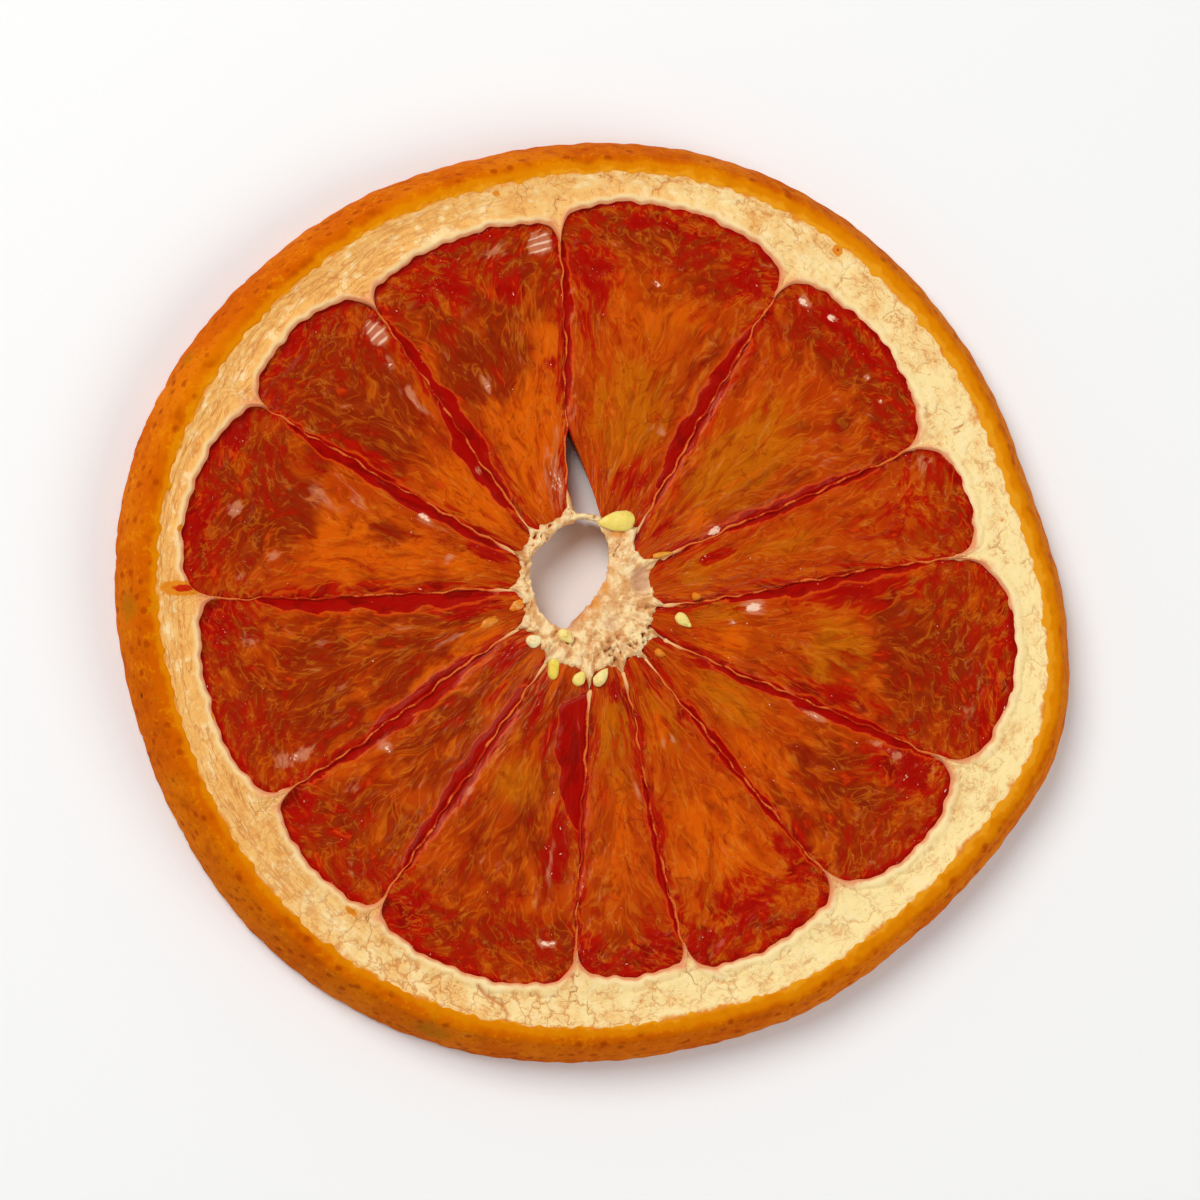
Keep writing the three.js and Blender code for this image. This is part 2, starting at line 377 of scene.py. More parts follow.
# A geometry tree that ends in Realize Instances and Set Material. body adds the part between.
def makeGeometryTree(name, sizes, body):
    inputs = {"Geometry": (geometrySocket, None)}
    inputs.update({label: (floatSocket, float(value)) for label, value in sizes.items()})
    inputs["Material"] = (materialSocket, None)
    tree, g, taken, given = makeGroup(name, "GeometryNodeTree", inputs, {"Geometry": geometrySocket})
    real = g.value("GeometryNodeRealizeInstances", {"Geometry": body(g, taken)})
    dressed = {"Geometry": real, "Material": taken["Material"]}
    g.feed(given["Geometry"], g.value("GeometryNodeSetMaterial", dressed))
    return tree


# Runs a geometry tree on a piece and leaves the result as its plain mesh.
def applyTree(piece, tree, sizes, material):
    modifier = piece.modifiers.new(tree.name, "NODES")
    modifier.node_group = tree
    for socket in tree.interface.items_tree:
        if socket.in_out == "INPUT" and socket.name in sizes:
            modifier[socket.identifier] = float(sizes[socket.name])
        elif socket.in_out == "INPUT" and socket.name == "Material":
            modifier[socket.identifier] = material
    graph = bpy.context.evaluated_depsgraph_get()
    mesh = bpy.data.meshes.new_from_object(piece.evaluated_get(graph), depsgraph=graph)
    piece.modifiers.remove(modifier)
    old = piece.data
    piece.data = mesh
    bpy.data.meshes.remove(old)
    mesh.name = piece.name
    mesh.shade_smooth()
    return piece


# Blotches, thin veins and fine grain at a place in millimetres, each 0 to 1.
def makeGrainGroup():
    inputs = {
        "Place": (vectorSocket, None),
        "Blotch Size": (floatSocket, 1.3),
        "Vein Size": (floatSocket, 1.0),
        "Vein Width": (floatSocket, 0.035),
        "Grain Size": (floatSocket, 0.2),
        "Detail": (floatSocket, 3.0),
    }
    outputs = {"Blotches": floatSocket, "Veins": floatSocket, "Grain": floatSocket}
    tree, g, taken, given = makeGroup("driedGrain", "ShaderNodeTree", inputs, outputs)

    def sized(label):
        scale = 1.0 / taken[label]
        return g.scaled(taken["Place"], g.combine(scale, scale, scale))

    g.feed(given["Blotches"], g.noise(sized("Blotch Size"), 1.0, taken["Detail"], 0.6))
    veins = g.noise(sized("Vein Size"), 1.0, 2.0, 0.55, 0.7)
    g.feed(given["Veins"], g.remap(abs(veins - 0.5), taken["Vein Width"], 0.0))
    g.feed(given["Grain"], g.noise(sized("Grain Size"), 1.0, 2.0, 0.55))
    return tree


# Lays a tint over a colour where a field is high, with an edge that the blotches break up.
def makeTintGroup():
    inputs = {
        "Colour": (colourSocket, None),
        "Tint": (colourSocket, None),
        "Field": (floatSocket, 0.0),
        "Blotches": (floatSocket, 0.5),
        "Raggedness": (floatSocket, 1.0),
        "From": (floatSocket, 0.3),
        "To": (floatSocket, 0.7),
        "Strength": (floatSocket, 1.0),
    }
    tree, g, taken, given = makeGroup("brokenTint", "ShaderNodeTree", inputs, {"Colour": colourSocket})
    ragged = (taken["Blotches"] - 0.5) * taken["Raggedness"]
    share = g.remap(taken["Field"] + ragged, taken["From"], taken["To"])
    share = g.math("MULTIPLY", share, taken["Strength"], clamp=True)
    g.feed(given["Colour"], g.blend(share, taken["Colour"], taken["Tint"]))
    return tree


grainGroup = makeGrainGroup()
tintGroup = makeTintGroup()


# Blotches, veins and grain of the given sizes in millimetres.
def grainAt(g, place, blotch, vein, grain, width=0.035):
    inputs = {"Place": place, "Blotch Size": blotch, "Vein Size": vein}
    inputs.update({"Vein Width": width, "Grain Size": grain})
    return g.values(g.node("ShaderNodeGroup", inputs, node_tree=grainGroup))


# A finish laid on in layers: its colours by name, and the colour so far.
class Paint:
    def __init__(self, name, colours, first):
        self.material = bpy.data.materials.new(name)
        self.material.use_nodes = True
        self.g = Graph(self.material.node_tree)
        self.colours = colours
        self.colour = colours[first]

    # Another colour that sets in where a field rises from low to high, with a ragged edge.
    def over(self, name, field, blotches=0.5, ragged=0.0, low=0.0, high=1.0, strength=1.0):
        values = (self.colour, self.colours[name], field, blotches, ragged, low, high, strength)
        inputs = dict(enumerate(values))
        self.colour = self.g.value("ShaderNodeGroup", inputs, node_tree=tintGroup)

    def mix(self, name, share):
        self.colour = self.g.blend(share, self.colour, self.colours[name])

    # The material, with the colour so far and the surface's other values.
    def finished(self, values):
        skin = self.material.node_tree.nodes["Principled BSDF"]
        for label, value in {"Base Color": self.colour, **values}.items():
            self.g.feed(skin.inputs[label], value)
        return self.material


pulpShape = {
    "upperInner": 4.4,
    "upperOuter": 4.7,
    "upperSag": 0.55,
    "lowerEnds": 1.0,
    "lowerSag": -0.35,
    "crown": 0.3,
    "gapDepth": 0.16,
    "pastCore": 0.5,  # how far the pulp runs in under the core and the pith
    "pastRing": 0.45,
    "fanWidth": 20,  # the pattern's width at the core, as if at this radius
    "fanSpread": 0.22,  # how much wider it gets for each millimetre outwards
    "crushRadius": 32,  # past it the pattern is shorter
    "crush": 1.6,
    "segmentStep": 7.3,  # how far apart in the noise two segments lie, and two faces
    "faceStep": 3,
    "featherAngle": 16,
    "columns": 96,
    "rows": 170,
}
pulpRelief = {
    "Wrinkle Width": 1.25,
    "Wrinkle Length": 2.7,
    "Wrinkle Depth": 0.34,
    "Vein Depth": 0.07,
    "Sag Depth": 0.4,
    "Film Calm": 0.85,
}
# Where the pulp has pulled away from a membrane and left a red film: segment, side (0 is the first
# membrane), start and end radius, and width.
pulpGaps = (
    (0, 1, 13, 33, 0.6),
    (1, 0, 12, 31, 0.7),
    (1, 1, 10, 30, 0.6),
    (2, 0, 12, 31, 1.5),
    (2, 1, 17, 36, 0.9),
    (3, 1, 12, 34, 1.3),
    (4, 0, 11, 24, 1.4),
    (4, 1, 14, 36, 0.4),
    (5, 0, 9, 35, 1.2),
    (6, 0, 9, 33, 1.7),
    (6, 1, 12, 26, 0.9),
    (7, 0, 10, 34, 1.2),
    (7, 1, 10, 32, 1.1),
    (8, 0, 12, 32, 0.8),
    (8, 1, 8.9, 22, 2.9),
    (8, 1, 8.6, 17, 3.0),
    (9, 0, 15, 28, 0.5),
    (9, 1, 17, 34, 0.6),
    (10, 1, 14, 34, 0.5),
    (11, 0, 12, 27, 0.6),
    (11, 1, 12, 37, 0.9),
    (12, 0, 14, 33, 0.5),
    (12, 1, 12, 34, 1.0),
)
# Patches of another look: segment, place across and radius, half width (a share of the segment),
# half length and strength.
pulpPatches = {
    "gold": (
        *((0, 0.55, 19, 0.25, 6, 0.6), (0, 0.4, 10.5, 0.25, 2, 0.7), (1, 0.5, 20, 0.35, 7, 0.9)),
        *((2, 0.5, 18, 0.3, 6, 0.8), (2, 0.4, 27, 0.25, 5, 0.5), (6, 0.5, 19, 0.2, 5, 0.6)),
        *((7, 0.45, 17, 0.3, 2.5, 0.9), (8, 0.4, 19, 0.25, 3, 0.8), (8, 0.2, 14.5, 0.15, 1.5, 0.5)),
        *((9, 0.55, 17, 0.25, 4, 0.5), (10, 0.45, 21, 0.3, 4, 0.5), (11, 0.55, 16, 0.35, 4.5, 0.8)),
        *((12, 0.45, 24, 0.3, 3.5, 0.9), (12, 0.35, 16, 0.3, 3, 0.5), (0, 0.6, 12, 0.4, 3, 0.65)),
        *((9, 0.4, 12, 0.5, 4, 0.7), (10, 0.45, 12.5, 0.45, 4, 0.65), (12, 0.7, 12, 0.4, 4, 0.6)),
    ),
    "orange": (
        *((3, 0.4, 18, 0.38, 5, 1.0), (3, 0.13, 24.5, 0.15, 4, 0.7), (3, 0.6, 12, 0.3, 3, 0.8)),
        *((4, 0.5, 15.5, 0.45, 4.5, 1.0), (5, 0.62, 22, 0.36, 6.5, 1.0), (5, 0.6, 13, 0.3, 3, 0.7)),
        *((6, 0.75, 12, 0.22, 3, 1.0), (6, 0.87, 18, 0.12, 6, 0.8), (9, 0.5, 24, 0.4, 8, 0.5)),
        *((10, 0.5, 25, 0.42, 6, 0.8), (10, 0.3, 13, 0.3, 3, 0.6), (11, 0.3, 21, 0.2, 5, 0.6)),
        *((12, 0.35, 13, 0.35, 3, 0.8), (1, 0.3, 12, 0.25, 3, 0.5), (10, 0.5, 33, 0.45, 5, 0.95)),
        *((11, 0.5, 25, 0.35, 4, 0.6), (2, 0.5, 30, 0.35, 5, 0.55)),
    ),
    "dark": (
        *((0, 0.5, 36.5, 0.5, 1.5, 0.7), (1, 0.5, 34, 0.45, 3, 0.9), (1, 0.3, 30.3, 0.12, 1.3, 0.8)),
        *((2, 0.65, 35.5, 0.35, 2.5, 0.8), (2, 0.3, 33, 0.2, 3, 0.6), (3, 0.5, 31, 0.5, 5.5, 1.0)),
        *((3, 0.6, 25, 0.36, 3.8, 1.0), (4, 0.6, 30, 0.48, 9, 1.0), (5, 0.42, 33.5, 0.42, 6, 0.95)),
        *((6, 0.42, 27, 0.36, 8, 0.75), (6, 0.5, 36, 0.4, 2, 0.7), (7, 0.5, 32, 0.42, 6, 0.75)),
        *((7, 0.8, 26, 0.15, 4, 0.5), (8, 0.3, 31, 0.3, 5, 0.55), (8, 0.92, 33, 0.09, 3, 1.0)),
        *((10, 0.4, 34.5, 0.3, 2, 0.6), (11, 0.55, 30, 0.32, 6, 0.85), (11, 0.12, 34, 0.16, 4, 0.7)),
        *((12, 0.45, 34, 0.42, 5.8, 1.0), (2, 0.15, 27, 0.12, 6, 0.5), (5, 0.4, 14, 0.35, 4, 0.35)),
        *((6, 0.4, 15, 0.45, 7, 0.72), (6, 0.5, 33, 0.5, 4, 0.6), (7, 0.5, 12, 0.5, 5, 0.66)),
        *((7, 0.5, 23, 0.45, 6, 0.66), (8, 0.4, 11.5, 0.5, 4, 0.7), (8, 0.5, 24, 0.5, 6, 0.62)),
        *((8, 0.6, 33, 0.5, 4, 0.6), (9, 0.5, 35, 0.5, 2.5, 0.45), (0, 0.5, 34, 0.5, 3, 0.5)),
        *((5, 0.9, 20, 0.12, 9, 0.4), (4, 0.75, 20, 0.2, 4, 0.4), (10, 0.6, 36.5, 0.4, 2, 0.5)),
        *((6, 0.65, 28, 0.35, 5, 0.8), (7, 0.6, 29.5, 0.45, 5, 0.8), (12, 0.75, 30, 0.25, 4, 0.8)),
        *((11, 0.14, 30, 0.15, 4, 0.7), (10, 0.95, 33, 0.08, 3, 0.6), (6, 0.5, 21, 0.5, 5, 0.75)),
        *((7, 0.5, 18, 0.5, 4, 0.72), (5, 0.4, 22, 0.25, 6, 0.5), (8, 0.5, 18, 0.4, 4, 0.5)),
        *((6, 0.5, 34, 0.5, 4, 0.75), (8, 0.5, 34, 0.5, 4, 0.75), (11, 0.5, 33, 0.5, 4, 0.7)),
    ),
    "red": (
        *((0, 0.7, 12.5, 0.15, 2.2, 0.8), (1, 0.6, 9.5, 0.09, 1.8, 1.0), (1, 0.55, 35.5, 0.45, 1, 0.7)),
        *((2, 0.1, 34.5, 0.12, 2.5, 0.9), (2, 0.85, 30, 0.12, 6, 0.75), (2, 0.35, 12, 0.28, 2.5, 0.6)),
        *((2, 0.55, 36.5, 0.3, 1, 0.7), (3, 0.5, 36.2, 0.5, 0.8, 0.8), (3, 0.12, 22, 0.09, 3, 0.6)),
        *((4, 0.5, 37.5, 0.5, 0.9, 0.8), (4, 0.93, 25, 0.1, 3.5, 0.8), (4, 0.92, 14, 0.1, 3, 0.6)),
        *((5, 0.15, 38, 0.18, 1.3, 1.0), (5, 0.7, 38.4, 0.25, 1, 0.9), (5, 0.25, 11, 0.16, 2.5, 1.0)),
        *((5, 0.95, 23, 0.06, 8, 0.7), (6, 0.24, 12.3, 0.2, 3.2, 1.0), (6, 0.1, 36, 0.14, 2.5, 0.8)),
        *((7, 0.3, 10, 0.2, 2, 0.9), (7, 0.1, 35, 0.14, 2.5, 0.9), (7, 0.65, 13, 0.12, 3, 0.5)),
        *((8, 0.12, 35, 0.14, 2.5, 0.9), (8, 0.84, 23, 0.12, 4, 0.8), (8, 0.22, 11, 0.25, 1.6, 0.7)),
        *((9, 0.12, 34, 0.18, 2.5, 1.0), (9, 0.75, 34, 0.28, 2.5, 0.9), (9, 0.6, 8.6, 0.3, 1.3, 1.0)),
        *((10, 0.42, 32, 0.22, 4, 0.75), (10, 0.1, 34.5, 0.12, 2.5, 0.9), (10, 0.9, 32, 0.1, 4, 0.8)),
        *((10, 0.75, 9.6, 0.25, 1.7, 0.8), (10, 0.88, 13.8, 0.13, 0.9, 0.9), (11, 0.84, 34, 0.14, 3.5, 1)),
        *((11, 0.9, 12, 0.14, 1.4, 0.8), (11, 0.05, 15, 0.08, 1.6, 0.9), (12, 0.86, 26, 0.12, 6, 0.9)),
        *((12, 0.4, 39.5, 0.4, 0.9, 0.7), (12, 0.1, 24, 0.1, 7, 0.7), (3, 0.88, 15, 0.09, 5, 0.7)),
        *((3, 0.65, 33, 0.2, 2.5, 0.75), (3, 0.3, 30, 0.12, 2, 0.65), (8, 0.55, 14, 0.1, 3, 0.6)),
        *((0, 0.6, 32, 0.4, 4, 0.5), (3, 0.4, 33.5, 0.4, 2.5, 0.45), (7, 0.4, 31, 0.3, 3, 0.4)),
    ),
    # Painted reflections: a pinkish sheen on the glossy film, with whitish glints in the middle of the
    # strongest patches.
    "pale": (
        *((0, 0.85, 34.8, 0.09, 0.7, 0.7), (1, 0.15, 28, 0.06, 1.8, 0.5), (1, 0.05, 13.7, 0.09, 1.0, 1.0)),
        *((1, 0.72, 35.7, 0.03, 0.5, 1.0), (1, 0.87, 35.2, 0.04, 0.5, 1.0), (2, 0.25, 17.5, 0.12, 0.5, 0.6)),
        *((2, 0.53, 30.8, 0.04, 0.5, 0.9), (3, 0.33, 34, 0.07, 0.9, 0.6)),
        *((3, 0.63, 22.6, 0.03, 1, 0.9), (3, 0.2, 11.6, 0.22, 3.2, 0.78), (4, 0.16, 29.5, 0.04, 1.4, 0.8)),
        *((4, 0.2, 25, 0.05, 2.6, 0.75), (4, 0.15, 16.5, 0.1, 0.6, 0.8), (5, 0.16, 18, 0.07, 1, 0.9)),
        *((5, 0.26, 25.4, 0.07, 1.8, 0.6), (5, 0.55, 35.6, 0.04, 1.2, 0.8), (5, 0.3, 29, 0.06, 1.6, 0.6)),
        *((5, 0.55, 14.4, 0.16, 0.4, 0.6), (6, 0.58, 14.2, 0.07, 2, 0.7), (6, 0.87, 32.4, 0.05, 2.5, 0.75)),
        *((6, 0.22, 33, 0.03, 1, 0.7), (7, 0.2, 24.4, 0.12, 0.6, 0.8), (8, 0.84, 32.8, 0.04, 0.4, 1.0)),
        *((8, 0.8, 27, 0.04, 2, 0.6), (8, 0.08, 21.5, 0.04, 1, 0.8), (9, 0.85, 18, 0.06, 1.2, 0.5)),
        *((10, 0.48, 15, 0.12, 0.5, 0.7), (10, 0.7, 16.4, 0.1, 0.6, 0.5)),
        *((11, 0.9, 24, 0.03, 1.6, 0.85), (11, 0.9, 31.5, 0.04, 2.4, 0.75)),
        *((12, 0.63, 13.7, 0.05, 0.5, 0.9), (12, 0.83, 15.6, 0.09, 1.2, 1.0)),
        (12, 0.35, 37.6, 0.2, 0.8, 0.5),
        *((1, 0.4, 34.3, 0.014, 0.4, 1.0), (1, 0.27, 34, 0.014, 0.35, 1.0), (8, 0.88, 32.6, 0.02, 0.3, 1.0)),
        *((6, 0.6, 25.7, 0.04, 0.7, 0.5), (6, 0.82, 29, 0.05, 1.3, 0.6), (6, 0.3, 26.6, 0.04, 0.7, 0.45)),
        *((5, 0.76, 31, 0.05, 0.8, 0.5), (5, 0.9, 33.9, 0.02, 0.5, 0.75), (7, 0.3, 29, 0.05, 0.9, 0.5)),
    ),
    # Painted reflections in stripes: a pale sheen with white glints.
    "ribbedSheen": ((3, 0.1, 34, 0.06, 1.1, 1.0), (4, 0.1, 32.5, 0.07, 1.3, 1.0)),
}
# The open gap beside the core hole, where one segment stops short of its second membrane.
openGap = {
    "segment": 2,
    "fromRadius": 9.0,
    "toRadius": 17.2,
    "startLength": 1.6,
    "taper": 0.85,
    "width": 3.3,
    "footWidth": 4.8,
}


# How strongly a segment's patches show at places across it and at their radii.
def patchField(patches, index, across, radius):
    field = np.zeros_like(radius)
    for segment, place, at, wide, long, strength in patches:
        if segment == index:
            near = ((across - place) / wide) ** 2 + ((radius - at) / long) ** 2
            field = np.maximum(field, strength * np.exp(-0.7 * near**1.2))
    return field


# Where the pulp has pulled away from its membranes: 1 in the gap, 0 on the pulp.
def gapField(index, across, radius, width):
    field = np.zeros_like(radius)
    for number, (segment, side, start, end, wide) in enumerate(pulpGaps):
        if segment != index:
            continue
        distance = (across if side == 0 else 1 - across) * width
        along = (radius - start) / (end - start)
        shape = np.clip(4 * along * (1 - along), 0, 1) ** 0.6 * (1.05 - 0.3 * along)
        edge = wide * shape * (1 + 0.2 * wobble(radius, (3.1, 5.3, 8.7), 40 + number))
        field = np.maximum(field, smooth(edge - distance, -0.6, 0.5) * smooth(shape, 0.02, 0.3))
    return field


# A segment's closed body, fuller in the middle, with what the relief and the finish need to know.
def makePulp(index):
    columns, rows = pulpShape["columns"], pulpShape["rows"]
    across = eased(columns, 0.6)[:, None] * np.ones((1, rows))
    out = alongRows(eased(rows, 0.35), columns)
    firstAngle, lastAngle = (fleshPlace(index, share, out)[0] for share in (0.0, 1.0))
    span = np.radians(lastAngle - firstAngle)
    past = pulpShape["pastCore"], pulpShape["pastRing"]
    foot = None
    if index == openGap["segment"]:
        radius = fleshPlace(index, 1.0, out)[1]
        start, end = openGap["fromRadius"], openGap["toRadius"]
        opening = np.clip((end - radius) / (end - start), 0, 1) ** openGap["taper"]
        opening *= smooth(radius, start - openGap["startLength"], start) / span / radius
        foot = fleshPlace(index, across * (1 - openGap["footWidth"] * opening), out, *past)
        across = across * (1 - openGap["width"] * opening)
    angle, radius = fleshPlace(index, across, out, *past)
    gap = gapField(index, across, radius, span * radius)
    flowAcross = (across - 0.5) * span * (pulpShape["fanWidth"] + pulpShape["fanSpread"] * radius)
    beyond = np.clip(radius - pulpShape["crushRadius"], -20, 20)
    flowOut = radius + pulpShape["crush"] * np.log1p(np.exp(beyond))
    points, flow = [], []
    upperEnds = lerp(pulpShape["upperInner"], pulpShape["upperOuter"], out)
    for face, ends, sag in (
        (1, upperEnds, pulpShape["upperSag"]),
        (-1, pulpShape["lowerEnds"], pulpShape["lowerSag"]),
    ):
        height = ends - sag * np.sin(np.pi * out) + face * pulpShape["crown"] * np.sin(np.pi * across)
        height = height - face * pulpShape["gapDepth"] * gap
        place = foot if foot and face < 0 else (angle, radius)
        points.append(pointAt(*place, height))
        level = np.full_like(radius, pulpShape["segmentStep"] * index + pulpShape["faceStep"] * face)
        flow.append(np.stack((flowAcross, flowOut, level), axis=-1))
    fields = {name: patchField(patches, index, across, radius) for name, patches in pulpPatches.items()}
    fields.update(out=out, gap=gap, side=np.minimum(across, 1 - across) * span * radius)
    fields = {name: np.stack((values, values)) for name, values in fields.items()}
    fields.update(flow=flow, face=np.stack((np.ones_like(out), -np.ones_like(out))))
    count = columns * rows
    upper = gridFaces(columns, rows)[:, ::-1]
    lower = gridFaces(columns, rows, start=count)
    grid = np.arange(count).reshape(columns, rows)
    loop = np.concatenate((grid[:-1, 0], grid[-1, :-1], grid[:0:-1, -1], grid[0, :0:-1]))
    following = np.roll(loop, -1)
    walls = np.stack((loop, loop + count, following + count, following), axis=-1)
    faces = np.concatenate((upper, lower, walls))
    return makeMesh(f"pulp{index + 1}", points, faces, fields)


# The pulp's pattern, for the relief and the finish alike: the flow bent a little, its wrinkles, and
# the thin veins that run along it.
def pulpGrain(g, flow, width, length):
    bent = g.bent(flow, (0.3, 0.16, 1.0), (2.4, 2.6, 0.0), 2.0)
    size = g.combine(1.0 / width, 1.0 / length, 1.0)
    wrinkles = g.noise(g.scaled(bent, size), 1.0, 2.5, 0.55, 0.5)
    veins = g.noise(g.scaled(bent, (0.9, 0.22, 1.0)), 1.0, 2.0, 0.6, 0.4)
    veins = g.remap(abs(veins - 0.5), 0.035, 0.0)
    return bent, wrinkles, veins


# The flow turned outwards on both sides of the segment's middle, like the barbs of a feather.
def featherFlow(g, bent):
    x, y, z = g.split(bent)
    turn = math.radians(pulpShape["featherAngle"])
    aside = abs(x)
    across = aside * math.cos(turn) - y * math.sin(turn)
    along = aside * math.sin(turn) + y * math.cos(turn)
    return g.combine(across, along, z + 2.6 * g.math("SIGN", x))


# Wrinkles, veins and sags, calmer beside the membranes and in the gaps.
def pulpBody(g, inputs):
    out = g.stored("out")
    flow = g.stored("flow", True)
    bent, wrinkles, veins = pulpGrain(g, flow, inputs["Wrinkle Width"], inputs["Wrinkle Length"])
    relief = (wrinkles - 0.5) * g.remap(out, 0.3, 0.95, 0.7, 1.25) * inputs["Wrinkle Depth"]
    broad = g.noise(g.scaled(bent, (0.2, 0.12, 1.0)), 1.0, 1.0)
    relief = relief + veins * inputs["Vein Depth"] + (broad - 0.5) * inputs["Sag Depth"]
    calm = g.remap(g.stored("side"), 0.0, 0.35, 0.3, 1.0) * g.remap(out, 1.0, 0.95, 0.25, 1.0)
    calm = calm * (1.0 - inputs["Film Calm"] * g.stored("gap"))
    return g.moved(inputs["Geometry"], g.combine(0.0, 0.0, relief * calm * g.stored("face") * mm))


pulpFinish = {
    "base": rgb(184, 60, 2),
    "gold": rgb(190, 92, 2),
    "orange": rgb(215, 88, 2),
    "dark": rgb(142, 35, 2),
    "brown": rgb(112, 20, 2),
    "red": rgb(176, 12, 2),
    "deep": rgb(128, 2, 1),
    "film": rgb(164, 3, 1),
    "filmEdge": rgb(222, 74, 12),
    "fibre": rgb(232, 126, 20),
    "straw": rgb(214, 130, 30),
    # pale and glint are painted reflections: a pinkish sheen and white glints.
    "pale": rgb(214, 134, 98),
    "glint": rgb(255, 214, 186),
}


def makePulpMaterial():
    paint = Paint("driedPulp", pulpFinish, "base")
    g = paint.g
    flow = g.stored("flow", True)
    out = g.stored("out")
    gap = g.stored("gap")
    red = g.stored("red")
    width, length = pulpRelief["Wrinkle Width"], pulpRelief["Wrinkle Length"]
    bent, wrinkles, veins = pulpGrain(g, flow, width, length)
    feathered = featherFlow(g, bent)
    longer = g.scaled(feathered, (1.0, 0.27, 1.0))
    worms, threads, fine = grainAt(g, longer, blotch=0.95, vein=1.3, width=0.045, grain=0.3)
    shifted = g.vector("ADD", g.scaled(bent, (1.0, 0.6, 1.0)), (31.0, 17.0, 5.0))
    patchy, crinkles, dots = grainAt(g, shifted, blotch=2.4, vein=1.9, width=0.024, grain=0.3)
    for name in ("gold", "orange", "dark"):
        paint.over(name, g.stored(name), patchy, 1.4, 0.3, 0.7)
    paint.over("dark", g.remap(out, 0.5, 0.95), patchy, 1.2, 0.4, 1.2, 0.6)
    streaks = g.noise(g.scaled(feathered, (0.5, 0.11, 1.0)), 1.0, 2.0, 0.55)
    paint.over("orange", streaks, worms, 0.2, 0.54, 0.68, 0.4)
    paint.over("dark", 1.0 - streaks, worms, -0.2, 0.54, 0.68, 0.42)
    paint.over("orange", wrinkles, worms, 0.8, 0.5, 0.85, 0.25)
    paint.over("brown", 1.0 - wrinkles, worms, -1.0, 0.5, 0.8, 0.45)
    redder = patchy + g.remap(out, 0.55, 0.95, -0.04, 0.14)
    paint.over("red", redder, worms, -0.9, 0.5, 0.8, 0.66)
    beside = g.remap(g.stored("side"), 1.5, 0.0, 0.0, 0.9, "LINEAR")
    # rim is the pulp's edge under the pith's lip. The red and deep red laid on it are partly its own colour
    # and partly painted shade from the lip.
    rim = g.remap(out, 0.94, 0.99, 0.0, 1.0, "LINEAR")
    reddish = g.larger(g.larger(beside, rim), red)
    paint.over("red", reddish, worms, -2.2, 0.35, 0.7, 0.9)
    paint.over("deep", reddish, wrinkles, -2.4, 0.6, 1.1, 0.8)
    paint.mix("deep", crinkles * g.remap(patchy, 0.4, 0.6, 0.1, 0.5))
    paint.mix("fibre", threads * g.remap(patchy, 0.6, 0.42, 0.0, 0.28))
    paint.mix("straw", veins * g.remap(worms, 0.45, 0.6, 0.0, 0.32))
    paint.over("film", g.larger(rim, red * 0.95), patchy, 2.0, 0.55, 0.85, 0.8)
    # Deeper red at the rim, partly painted shade under the pith's lip.
    paint.over("deep", rim, patchy, 1.2, 0.8, 1.0, 0.5)
    paint.mix("brown", g.remap(fine, 0.42, 0.28, 0.0, 0.15))
    film = gap - 1.6 * (worms - 0.5)
    paint.mix("filmEdge", g.remap(film, 0.18, 0.4, 0.0, 0.6))
    paint.mix("film", g.remap(film, 0.42, 0.6))
    paint.mix("deep", g.remap(film, 0.6, 0.8) * g.remap(wrinkles, 0.52, 0.36, 0.0, 0.8))
    # Painted reflections: a pale sheen on the pale patches, white glint dots on the red parts and in the
    # strongest patches, and striped glints on the ribbed patches.
    pale = g.stored("pale")
    paint.over("pale", pale, worms, 2.6, 0.4, 0.95, 0.65)
    paintedGlints = reddish * (1.0 - gap) * g.remap(patchy, 0.5, 0.62)
    paintedGlints = g.larger(g.remap(pale, 0.5, 1.0), paintedGlints * 0.75)
    paint.over("glint", paintedGlints * 0.25, dots, 2.2, 0.56, 0.68, 0.9)
    paint.over("glint", pale, dots, 0.7, 0.78, 0.92, 0.9)
    x, y, _ = g.split(bent)
    ribs = g.remap(g.math("SINE", (y + 0.5 * x) * 4.6), 0.0, 0.9)
    ribbedSheen = g.stored("ribbedSheen")
    paint.over("pale", ribbedSheen, worms, 1.4, 0.3, 0.8, 0.6)
    paint.over("glint", ribbedSheen * ribs, worms, 1.2, 0.3, 0.9, 0.7)
    surface = {
        "Roughness": g.remap(worms, 0.3, 0.7, 0.28, 0.45),
        "Normal": g.bump(0.2, 0.15, g.noise(g.scaled(flow, (2.2, 1.1, 1.0)), 1.0, 2.0)),
        "Specular IOR Level": 0.2,
        "Specular Tint": (1.0, 0.5, 0.2, 1.0),
        "Coat Weight": 0.05,
        "Coat Roughness": 0.15,
    }
    return paint.finished(surface)


print("pulp")
pulpMaterial = makePulpMaterial()
pulpTree = makeGeometryTree("driedPulpRelief", pulpRelief, pulpBody)
pulpPieces = [
    applyTree(makePulp(index), pulpTree, pulpRelief, pulpMaterial)
    for index in range(segmentCount)
]


membraneShape = {
    "points": 150,
    "halfWidth": 0.15,
    "widthSwing": 0.3,
    "outerFlare": 0.3,
    "outerFlareReach": 0.8,
    "innerFlare": 0.3,
    "innerFlareReach": 1.0,
    "footWidth": 2.6,  # as a share of the half width
    "crestWidth": 0.75,
    "stand": 0.14,
    "crestSwing": 0.1,
    "dip": 1.3,
    "floor": 0.6,
    "sway": 0.16,
}
membraneSizes = {"Profile Points": 14, "Ripple Depth": 0.12}


